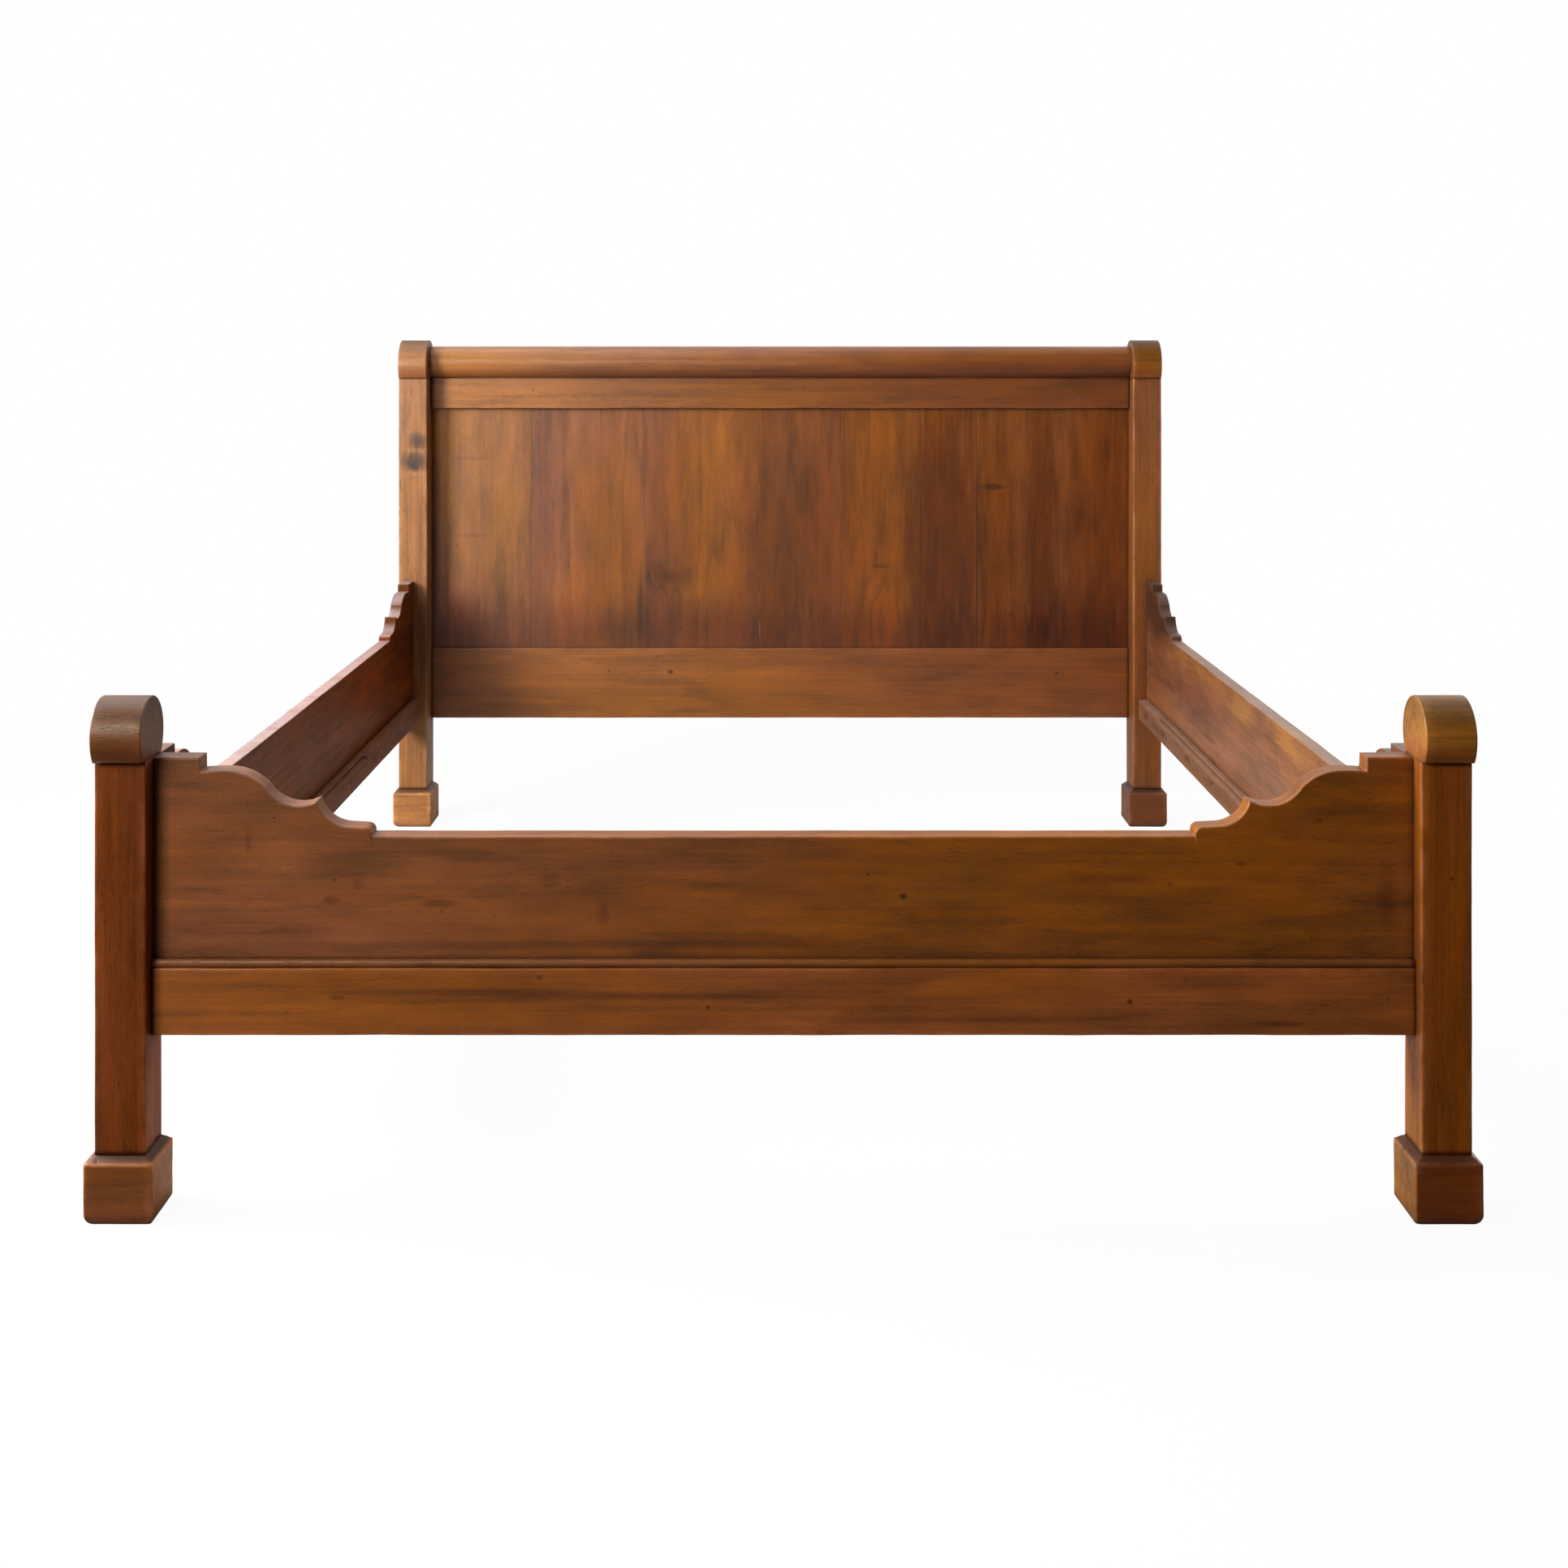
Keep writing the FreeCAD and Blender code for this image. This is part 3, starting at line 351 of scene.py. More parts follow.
def place_steps(start, end, step, extra=()):
    """Places along a piece: even steps, and closer ones about the places in extra."""
    places = [np.linspace(start, end, max(2, int(abs(end - start) / step)))]
    for middle in extra:
        places.append(middle + np.array([-0.004, -0.0015, 0.0, 0.0015, 0.004]))
    places = np.unique(np.concatenate(places))
    places = places[(places >= min(start, end)) & (places <= max(start, end))]
    keep = np.concatenate([[True], np.diff(places) > 0.0004])
    return places[keep]


def add_bar(node, axis, material, seed, share=1.0, counts=(9, 9, 9, 9), box=None):
    """A worn bar along an axis, in the box of its node or in another box: a rectangle whose
    four edges are rounded by radii that change along the bar, carried along the axis."""
    low, high = box_of(node) if box is None else np.array(box, dtype=float)
    others = [number for number in range(3) if number != axis]
    places = place_steps(low[axis], high[axis], 0.006)
    radii = np.stack([
        worn_radii(places, seed * 10 + corner, share) for corner in range(4)], axis=-1)
    small = np.repeat(low[None, others], len(places), axis=0)
    large = np.repeat(high[None, others], len(places), axis=0)
    ring, edge = rounded_ring(small, large, radii, counts)
    points = wander(carry(ring, places, axis), seed, wear().face_wave)
    add_surface(node, points, edge, material)


def add_rail(node, material, seed):
    """A bar across the bed whose ends go a little way into the posts."""
    low, high = box_of(node)
    high[0] = half_bay() + INTO_POST
    low[0] = -high[0]
    add_bar(node, X_AXIS, material, seed, box=(low, high))


def bowed(start, end, bow, count):
    """Points on the arc between two points whose rise is the bow times the chord, to the left
    of the way from start to end. A bow of zero is the straight line."""
    start = np.asarray(start, dtype=float)
    end = np.asarray(end, dtype=float)
    chord = end - start
    length = np.linalg.norm(chord)
    share = np.linspace(0.0, 1.0, count)
    if abs(bow) < 1e-9:
        return start + chord * share[:, None]
    left = np.array([-chord[1], chord[0]]) / length
    radius = length * (0.25 + bow * bow) / (2.0 * abs(bow))
    sign = math.copysign(1.0, bow)
    centre = (start + end) / 2.0 + left * (bow * length - sign * radius)
    half = math.asin(min(1.0, length / 2.0 / radius))
    angles = np.linspace(-half, half, count)
    along = chord / length
    return centre + radius * (np.sin(angles)[:, None] * along + sign * np.cos(angles)[:, None] * left)


def scallop_path(length, low, dip, ogee, first_raised, last_raised):
    """Top edge of a scalloped board as points (along, height): level at each raised end, a small
    step, the ogee down, and straight in the middle. Corners get close neighbours so that the
    shading stays crisp, and a step leans by half a millimetre."""
    top = low + dip
    heights = low + dip * OGEE_SHARES[:, 1]
    first = np.column_stack([first_raised + ogee * OGEE_SHARES[:, 0], heights])
    last = np.column_stack([length - last_raised - ogee * OGEE_SHARES[:, 0], heights])[::-1]
    lean = 0.0005
    corners = [(0.0, top), (first_raised - lean, top)]
    corners += [tuple(point) for point in first]
    corners += [tuple(point) for point in last]
    corners += [(length - last_raised + lean, top), (length, top)]
    bows = [0.0, 0.0] + list(OGEE_BOWS) + [0.0] + list(OGEE_BOWS[::-1]) + [0.0, 0.0]
    pieces = []
    for number, bow in enumerate(bows):
        start = np.array(corners[number])
        end = np.array(corners[number + 1])
        chord = np.linalg.norm(end - start)
        count = max(5, int(chord / 0.0045)) if abs(bow) > 0.0 else max(4, int(chord / 0.008))
        arc = bowed(start, end, bow, count)
        near = min(0.0024, chord * 0.3) / chord
        close = np.array([near, 1.0 - near])
        share = np.linspace(0.0, 1.0, count)
        extra = np.column_stack([np.interp(close, share, arc[:, axis]) for axis in range(2)])
        pieces.append(np.concatenate([arc[:1], extra[:1], arc[1:-1], extra[1:]]))
    pieces.append(np.array([corners[-1]]))
    return np.concatenate(pieces)


def inward_mitres(path):
    """At each point of a path, the way into the wood below it: the mean of the normals of its
    two stretches, lengthened so that an offset keeps its distance from both."""
    step = np.diff(path, axis=0)
    step /= np.linalg.norm(step, axis=1)[:, None]
    normal = np.column_stack([step[:, 1], -step[:, 0]])
    before = np.concatenate([normal[:1], normal])
    behind = np.concatenate([normal, normal[-1:]])
    middle = before + behind
    middle /= np.linalg.norm(middle, axis=1)[:, None]
    cosine = np.clip((middle * behind).sum(axis=1), 0.5, 1.0)
    return middle / cosine[:, None]


def add_scalloped(node, axis, material, seed, path, low, near, far, share=1.0):
    """A board with a scalloped top edge. For each point of the path a ring runs up the front
    face, over the top edge and down the back, and all rings are carried along the path. Edges
    are quarter circles, at the top measured along the path's inward mitre. The points of a face
    stand at the same heights in every ring, held just under the edge where the path is low.
    Columns that a mitre would fold over each other are held in order."""
    mitre = inward_mitres(path)
    angles = np.radians(np.linspace(0.0, 90.0, SCALLOP_ARC))
    radius = wear().edge_radius * share
    levels = np.linspace(low + radius * 2.5, path[:, 1].max() - radius * 1.5, 26)
    spare = np.arange(len(levels), 0, -1) * 0.00005

    def half_ring(radii, face, inward):
        """One side from the middle of the bottom edge up to the top edge."""
        depth = radii[:, None] * (1.0 - np.sin(angles))
        across = face + inward * radii[:, None] * (1.0 - np.cos(angles))
        column = path[:, :1] + mitre[:, :1] * radii[:, None]
        over_place = path[:, :1] + mitre[:, :1] * depth
        over_height = path[:, 1:] + mitre[:, 1:] * depth
        over = np.stack([over_place, across, over_height], axis=-1)
        under = np.stack([column + 0.0 * depth, across, low + depth], axis=-1)
        height = np.minimum(levels[None], over[:, :1, 2] - 0.0008 - spare[None])
        flat = np.stack([column + 0.0 * height, face + 0.0 * height, height], axis=-1)
        return np.concatenate([under[:, ::-1], flat, over], axis=1)

    front = half_ring(worn_radii(path[:, 0], seed * 10, share), near, 1.0)
    back = half_ring(worn_radii(path[:, 0], seed * 10 + 1, share), far, -1.0)[:, ::-1]
    shares = np.array([0.12, 0.37, 0.63, 0.88])[None, :, None]
    ring = np.concatenate([
        front, front[:, -1:] + (back[:, :1] - front[:, -1:]) * shares,
        back, back[:, -1:] + (front[:, :1] - back[:, -1:]) * shares], axis=1)
    side = np.concatenate([np.full(SCALLOP_ARC, 0.6), np.zeros(len(levels)), np.ones(SCALLOP_ARC)])
    between = np.array([0.5, 0.0, 0.0, 0.5])
    edge = np.broadcast_to(np.concatenate([side, between, side[::-1], between]), ring.shape[:2])
    along, across, height = ring[..., 0], ring[..., 1], ring[..., 2]
    ahead = np.maximum.accumulate(along, axis=0)
    behind = np.minimum.accumulate(along[::-1], axis=0)[::-1]
    along = (ahead + behind) / 2.0 + np.linspace(-1.0, 1.0, len(path))[:, None] * 0.0001
    order = (along, across, height) if axis == X_AXIS else (across, along, height)
    points = wander(np.stack(order, axis=-1), seed, wear().face_wave)
    add_surface(node, points, edge, material)


def add_rolled(node, material, seed, radius, centre, seat, low_x, high_x, rim):
    """A round bar across the bed, cut flat where it sits. The ring is a circle whose lower part
    is held at the seat, and at each end the ring shrinks by a quarter circle for the rim, then
    closes over the flat end."""
    length = high_x - low_x
    turns = np.radians(np.linspace(0.0, 90.0, 7))
    inset = np.concatenate([[radius * 0.97, radius * 0.5, rim * 2.2], rim * (1.0 - np.sin(turns))])
    start = np.concatenate([np.zeros(3), rim * (1.0 - np.cos(turns))])
    worn = np.concatenate([[0.0, 0.0, 0.4], np.ones(len(turns))])
    body = np.linspace(rim, length - rim, max(6, int(length / 0.01)))[1:-1]
    plain = np.zeros(len(body))
    places = np.concatenate([start, body, length - start[::-1]]) + low_x
    insets = np.concatenate([inset, plain, inset[::-1]])
    edges = np.concatenate([worn, plain, worn[::-1]])
    centre_y, centre_z = centre
    half_open = math.acos(np.clip((centre_z - seat) / radius, -1.0, 1.0))
    angles = np.linspace(-math.pi / 2.0 + half_open, 1.5 * math.pi - half_open, 90)
    reach = radius - insets[:, None]
    flat = np.linspace(0.0, 1.0, 12)[1:-1]
    ring = []
    for circle in (centre_y + reach * np.cos(angles), centre_z + reach * np.sin(angles)):
        seated = circle[:, -1:] + (circle[:, :1] - circle[:, -1:]) * flat
        ring.append(np.concatenate([circle, seated], axis=1))
    points = wander(carry(np.stack(ring, axis=-1), places, X_AXIS), seed, wear().face_wave * 0.8)
    edge = np.repeat(edges[:, None], points.shape[1], axis=1)
    add_surface(node, points, edge, material)


def quarter_inset(height, radius):
    """How far a rounded lower edge stands back at a height: a quarter circle of that radius."""
    gap = np.clip(radius - height, 0.0, radius)
    return radius - np.sqrt(radius ** 2 - gap ** 2)


def add_foot_block(node, post, material, seed):
    """A foot block: upright sides, a bevel up to the post, and lower edges that are rounded
    most at the outer side. Each ring is a rounded rectangle, and the profile gives its height
    and how far its front, sides and back stand in."""
    low, high = box_of(node)
    over = box_of(post)[0][0] - low[0]
    top = high[2]
    bevel_height = 0.0078
    brow = top - bevel_height
    outer, inner, front, back = 0.012, 0.0035, 0.003, 0.005
    turns = np.radians(np.linspace(0.0, 90.0, 9))
    rounded = [radius * (1.0 - np.cos(turns)) for radius in (outer, inner, front, back)]
    lower = np.unique(np.round(np.concatenate(rounded), 6))
    upright = np.linspace(outer + 0.003, brow - 0.004, 12)
    bevel = np.array([
        (brow - 0.0016, 0.0001), (brow, 0.0005), (brow + 0.0006, 0.0017),
        (brow + 0.0042, over * 0.52), (top - 0.0008, over - 0.0012),
        (top, over - 0.0002), (top, over + 0.006)])
    height = np.concatenate([[0.0], lower, upright, bevel[:, 0]])
    rest = len(height) - len(bevel)
    inset = np.concatenate([np.zeros(rest), bevel[:, 1]])
    inset[0] = 0.02
    sides = (outer, inner) if node.endswith("left") else (inner, outer)
    from_left, from_right, from_front, from_back = (
        quarter_inset(height, radius) + inset for radius in sides + (front, back))
    small = np.stack([low[0] + from_left, low[1] + from_front], axis=-1)
    large = np.stack([high[0] - from_right, high[1] - from_back], axis=-1)
    corner = np.clip(0.004 - inset * 0.1, 0.002, 0.006)
    radii = np.stack([
        corner * (1.0 + 0.3 * slow_noise(height + number, seed + number, 0.08))
        for number in range(4)], axis=-1)
    ring, edge = rounded_ring(small, large, radii, (10, 10, 10, 10))
    edge = np.array(edge)
    edge[1:len(lower)] = np.maximum(edge[1:len(lower)], 0.7)
    edge[rest:rest + 3] = 1.0
    points = wander(carry(ring, height, Z_AXIS), seed, wear().face_wave * 1.2)
    points[..., 2] = np.maximum(points[..., 2], 0.0)
    add_surface(node, points, edge, material)


# Materials.
class Tree:
    """Adds nodes to a material's or a group's tree and joins their sockets."""

    def __init__(self, tree):
        self.tree = tree
        self.count = 0

    def add(self, kind, **settings):
        node = self.tree.nodes.new(kind)
        node.location = (180.0 * (self.count % 14), -220.0 * (self.count // 14))
        self.count += 1
        for name, value in settings.items():
            setattr(node, name, value)
        return node

    def put(self, socket, value):
        """Join a socket to another, or give it a plain value."""
        if isinstance(value, bpy.types.NodeSocket):
            self.tree.links.new(value, socket)
        else:
            socket.default_value = value

    def made(self, kind, values, **settings):
        """A node whose inputs are joined or set by name."""
        node = self.add(kind, **settings)
        for name, value in values.items():
            self.put(node.inputs[name], value)
        return node

    def math(self, operation, first, second, clamp=False):
        node = self.add("ShaderNodeMath", operation=operation, use_clamp=clamp)
        self.put(node.inputs[0], first)
        self.put(node.inputs[1], second)
        return node.outputs[0]

    def lean(self, total, value, middle, weight):
        """Add to a total how far a value lies above its middle, times a weight."""
        above = self.math("SUBTRACT", value, middle)
        return self.math("ADD", total, self.math("MULTIPLY", above, weight))

    def vector(self, operation, first, second=None):
        node = self.add("ShaderNodeVectorMath", operation=operation)
        self.put(node.inputs[0], first)
        if second is not None:
            self.put(node.inputs[1], second)
        return node.outputs["Value" if operation == "LENGTH" else "Vector"]

    def join(self, x, y, z):
        node = self.add("ShaderNodeCombineXYZ")
        for socket, value in zip(node.inputs, (x, y, z)):
            self.put(socket, value)
        return node.outputs[0]

    def part(self, vector):
        node = self.add("ShaderNodeSeparateXYZ")
        self.put(node.inputs[0], vector)
        return node.outputs

    def mix(self, share, first, second, blend="MIX"):
        node = self.add("ShaderNodeMix", data_type="RGBA", blend_type=blend)
        self.put(node.inputs["Factor"], share)
        self.put(node.inputs[6], first)
        self.put(node.inputs[7], second)
        return node.outputs[2]

    def noise(self, position, along, across, detail, rough):
        """Noise of a position whose first part is scaled by along and the others by across."""
        place = self.vector("MULTIPLY", position, (along, across, across))
        values = {"Vector": place, "Scale": 1.0, "Detail": detail, "Roughness": rough}
        return self.made("ShaderNodeTexNoise", values).outputs["Fac"]

    def span(self, value, low, high, to_low=0.0, to_high=1.0, smooth=False):
        """Bring a value from one range to another and hold it there."""
        node = self.add("ShaderNodeMapRange", clamp=True)
        node.interpolation_type = "SMOOTHSTEP" if smooth else "LINEAR"
        self.put(node.inputs[0], value)
        for socket, number in zip(node.inputs[1:5], (low, high, to_low, to_high)):
            self.put(socket, number)
        return node.outputs[0]

    def ramp(self, value, stops):
        node = self.add("ShaderNodeValToRGB")
        self.put(node.inputs[0], value)
        stops = sorted(stops)
        while len(node.color_ramp.elements) < len(stops):
            node.color_ramp.elements.new(0.5)
        for element, (place, level) in zip(node.color_ramp.elements, stops):
            element.position = place
            element.color = (level, level, level, 1.0)
        return node.outputs[0]

    def blend(self, share, first, second):
        """The mix of two shader nodes."""
        node = self.add("ShaderNodeMixShader")
        for socket, value in zip(node.inputs, (share, first.outputs[0], second.outputs[0])):
            self.put(socket, value)
        return node

    def end(self, surface, kind="ShaderNodeOutputMaterial"):
        """Join a shader node to the output."""
        self.made(kind, {"Surface": surface.outputs[0]})

    def coat(self, values, height, strength, distance):
        """The Principled shader with a bump, joined to the output."""
        bump = self.made("ShaderNodeBump", {
            "Height": height, "Strength": strength, "Distance": distance})
        values = {**values, "Normal": bump.outputs["Normal"]}
        self.end(self.made("ShaderNodeBsdfPrincipled", values))


def new_material(name):
    """A material with an empty tree, and the builder of the tree."""
    material = bpy.data.materials.new(name)
    material.use_nodes = True
    material.node_tree.nodes.clear()
    return material, Tree(material.node_tree)


def new_group(name, inputs, outputs):
    """A shader node group with named sockets. Returns the group, its builder and both ends."""
    group = bpy.data.node_groups.new(name, "ShaderNodeTree")
    for label, kind, default in inputs:
        socket = group.interface.new_socket(name=label, in_out="INPUT", socket_type=kind)
        if default is not None:
            socket.default_value = default
    for label, kind in outputs:
        group.interface.new_socket(name=label, in_out="OUTPUT", socket_type=kind)
    tree = Tree(group)
    start = tree.add("NodeGroupInput")
    end = tree.add("NodeGroupOutput")
    return group, tree, start.outputs, end.inputs


def figure_group():
    """Walnut figure. Rings are contours of slow noise that is stretched along the grain, so they
    run long and close in loops, with a saw-toothed dark edge. Fibres and pores are fine noise,
    stretched further. All of it is laid over two slow clouds of colour."""
    group, tree, given, out = new_group("Walnut figure", [
        ("Position", "NodeSocketVector", None),
        ("Light", "NodeSocketColor", (0.4, 0.15, 0.05, 1.0)),
        ("Dark", "NodeSocketColor", (0.1, 0.03, 0.01, 1.0)),
        ("Seed", "NodeSocketFloat", 0.0),
        ("Rings", "NodeSocketFloat", 9.0),
        ("Ring strength", "NodeSocketFloat", 0.5),
        ("Fibre strength", "NodeSocketFloat", 0.5),
        ("Cloud strength", "NodeSocketFloat", 0.6),
        ("Swirl", "NodeSocketFloat", 0.0),
        ("Roughness", "NodeSocketFloat", 0.4),
    ], [
        ("Color", "NodeSocketColor"),
        ("Roughness", "NodeSocketFloat"),
        ("Height", "NodeSocketFloat"),
    ])
    away = tree.join(*(tree.math("MULTIPLY", given["Seed"], turn) for turn in (3.71, 1.93, 2.57)))
    place = tree.vector("ADD", given["Position"], away)
    slow = tree.noise(place, 0.8, 6.5, 2.0, 0.5)
    bend = tree.noise(place, 3.0, 40.0, 4.0, 0.6)
    fibre = tree.noise(place, 7.0, 430.0, 4.0, 0.62)
    streak = tree.noise(place, 2.4, 120.0, 3.0, 0.6)
    pore = tree.noise(place, 75.0, 1500.0, 1.0, 0.5)
    cloud = tree.noise(place, 3.0, 15.0, 4.0, 0.6)
    patch = tree.noise(place, 10.0, 36.0, 3.0, 0.55)
    blush = tree.noise(place, 1.1, 3.4, 2.0, 0.5)
    contour = tree.math("MULTIPLY", slow, given["Rings"])
    contour = tree.math("ADD", contour, tree.math("MULTIPLY", bend, 1.5))
    contour = tree.math("ADD", contour, given["Swirl"])
    ring = tree.ramp(tree.math("FRACT", contour, 0.0), [
        (0.0, 0.45), (0.16, 0.2), (0.45, 0.32), (0.72, 0.6), (0.86, 0.85), (0.93, 0.75), (1.0, 0.45)])
    thin = tree.ramp(tree.math("FRACT", tree.math("MULTIPLY", contour, 4.0), 0.0), [
        (0.0, 0.5), (0.3, 0.3), (0.8, 0.72), (1.0, 0.5)])
    pores = tree.math("MULTIPLY", tree.span(pore, 0.6, 0.72), tree.math("ADD", 0.45, ring))
    tone = 0.0
    for value, middle, strength, weight in (
            (ring, 0.45, "Ring strength", 1.0), (thin, 0.5, "Ring strength", 0.35),
            (fibre, 0.5, "Fibre strength", 0.8), (streak, 0.5, "Fibre strength", 1.2),
            (cloud, 0.5, "Cloud strength", 1.5), (patch, 0.5, "Cloud strength", 1.0)):
        tone = tree.lean(tone, value, middle, tree.math("MULTIPLY", given[strength], weight))
    tone = tree.math("ADD", tone, 0.5, clamp=True)
    warm = tree.made("ShaderNodeHueSaturation", {
        "Hue": tree.span(blush, 0.3, 0.7, 0.501, 0.512),
        "Saturation": tree.span(blush, 0.3, 0.7, 0.92, 1.06),
        "Value": tree.span(blush, 0.3, 0.7, 0.93, 1.06),
        "Color": tree.mix(tone, given["Light"], given["Dark"]),
    }).outputs[0]
    depth = tree.math("MULTIPLY", pores, 0.55)
    tree.put(out["Color"], tree.mix(depth, warm, given["Dark"], "MULTIPLY"))
    rough = tree.lean(given["Roughness"], streak, 0.5, 0.22)
    rough = tree.lean(rough, cloud, 0.5, 0.16)
    rough = tree.math("ADD", rough, tree.math("MULTIPLY", pores, 0.2), clamp=True)
    tree.put(out["Roughness"], rough)
    height = 0.0
    for value, middle, weight in (
            (fibre, 0.5, 0.3), (streak, 0.0, 0.5), (pores, 0.0, -0.9), (ring, 0.0, -0.18)):
        height = tree.lean(height, value, middle, weight)
    tree.put(out["Height"], height)
    return group


def mark_group():
    """A mark in the wood: a soft ellipsoid about a centre, its outline bent by noise. Mask is 1 in
    the middle and 0 outside. Flow rises smoothly towards the middle and bends the rings round."""
    group, tree, given, out = new_group("Wood mark", [
        ("Position", "NodeSocketVector", None),
        ("Centre", "NodeSocketVector", None),
        ("Size", "NodeSocketVector", None),
        ("Softness", "NodeSocketFloat", 0.5),
        ("Break", "NodeSocketFloat", 0.3),
    ], [("Mask", "NodeSocketFloat"), ("Flow", "NodeSocketFloat")])
    local = tree.vector("SUBTRACT", given["Position"], given["Centre"])
    reach = tree.vector("LENGTH", tree.vector("DIVIDE", local, given["Size"]))
    ragged = tree.noise(given["Position"], 9.0, 75.0, 4.0, 0.65)
    bent = tree.lean(reach, ragged, 0.5, tree.math("MULTIPLY", given["Break"], 3.0))
    inner = tree.math("SUBTRACT", 1.0, given["Softness"])
    outer = tree.math("ADD", 1.0, given["Softness"])
    tree.put(out["Mask"], tree.span(bent, inner, outer, 1.0, 0.0, True))
    fall = tree.math("ADD", 1.0, tree.math("MULTIPLY", reach, reach))
    tree.put(out["Flow"], tree.math("DIVIDE", 1.0, fall))
    return group


def age_group():
    """Use and age on a finished surface: rubbed edges turn lighter, faces that look up turn
    pale (settled dustiness with a painted sheen), corners, joints and recesses darken with dark
    wax and painted shade by ambient occlusion, and small dents and spots are scattered about."""
    group, tree, given, out = new_group("Age and wear", [
        ("Color", "NodeSocketColor", (0.3, 0.1, 0.04, 1.0)),
        ("Roughness", "NodeSocketFloat", 0.4),
        ("Height", "NodeSocketFloat", 0.0),
        ("Position", "NodeSocketVector", None),
        ("Rub", "NodeSocketFloat", 0.0),
        ("Rub strength", "NodeSocketFloat", 0.5),
        ("Grime strength", "NodeSocketFloat", 0.8),
        ("Dust", "NodeSocketColor", (0.6, 0.4, 0.3, 1.0)),
        ("Dust strength", "NodeSocketFloat", 0.0),
    ], [
        ("Color", "NodeSocketColor"),
        ("Roughness", "NodeSocketFloat"),
        ("Height", "NodeSocketFloat"),
    ])
    patchy = tree.noise(given["Position"], 18.0, 18.0, 4.0, 0.65)
    rubbed = tree.math("MULTIPLY", given["Rub"], tree.span(patchy, 0.38, 0.62))
    rubbed = tree.math("MULTIPLY", rubbed, given["Rub strength"], clamp=True)
    light = tree.made("ShaderNodeHueSaturation", {
        "Saturation": 0.9, "Value": 1.55, "Color": given["Color"]})
    colour = tree.mix(rubbed, given["Color"], light.outputs[0])
    # Faces that look up turn pale: partly settled dustiness, partly a painted sheen.
    facing = tree.part(tree.add("ShaderNodeNewGeometry").outputs["Normal"])["Z"]
    sheened_and_dusty = tree.math("MULTIPLY", tree.span(facing, 0.5, 0.97, 0.0, 1.0, True), given["Dust strength"])
    sheened_and_dusty = tree.math("MULTIPLY", sheened_and_dusty, tree.span(patchy, 0.25, 0.6, 0.6, 1.0))
    colour = tree.mix(sheened_and_dusty, colour, given["Dust"])
    # Ambient occlusion darkens corners, joints and recesses: partly dark wax, partly painted shade.
    corner = tree.made("ShaderNodeAmbientOcclusion", {"Distance": 0.02}, samples=6, only_local=False)
    wax_and_shade = tree.span(corner.outputs["AO"], 0.25, 0.85, 1.0, 0.0)
    wax_and_shade = tree.math("MULTIPLY", wax_and_shade, tree.span(patchy, 0.2, 0.6, 0.65, 1.0))
    wax_and_shade = tree.math("MULTIPLY", wax_and_shade, given["Grime strength"], clamp=True)
    colour = tree.mix(wax_and_shade, colour, DARK_WAX_AND_SHADE)
    spots = tree.made("ShaderNodeTexVoronoi", {
        "Vector": tree.vector("MULTIPLY", given["Position"], (22.0, 22.0, 22.0)), "Scale": 1.0,
    }, feature="F1")
    spot = tree.span(spots.outputs["Distance"], 0.035, 0.075, 1.0, 0.0, True)
    spot = tree.math("MULTIPLY", spot, tree.span(patchy, 0.5, 0.56))
    tree.put(out["Color"], tree.mix(tree.math("MULTIPLY", spot, 0.65), colour, DARK_SPOT))
    rough = tree.math("ADD", given["Roughness"], tree.math("MULTIPLY", wax_and_shade, 0.25), clamp=True)
    tree.put(out["Roughness"], rough)
    tree.put(out["Height"], tree.lean(given["Height"], spot, 0.0, -1.5))
    return group


GROUPS = {}


def shared(name):
    """The shared node group of that name, built when first asked for."""
    builders = {"figure": figure_group, "mark": mark_group, "age": age_group}
    if name not in GROUPS:
        GROUPS[name] = builders[name]()
    return GROUPS[name]


def mark(place, size, tint, soft=0.5, ragged=0.5, flow=0.0):
    """A knot, streak or stain for walnut(), or a patch of painted light, sheen, shade or shadow:
    place and half sizes in metres, the factors that it multiplies the wood's red, green and blue
    by, and how far it bends the rings."""
    if isinstance(tint, float):
        tint = (tint, tint * 0.93, tint * 0.9)
    return place, size, tint + (1.0,), soft, ragged, flow


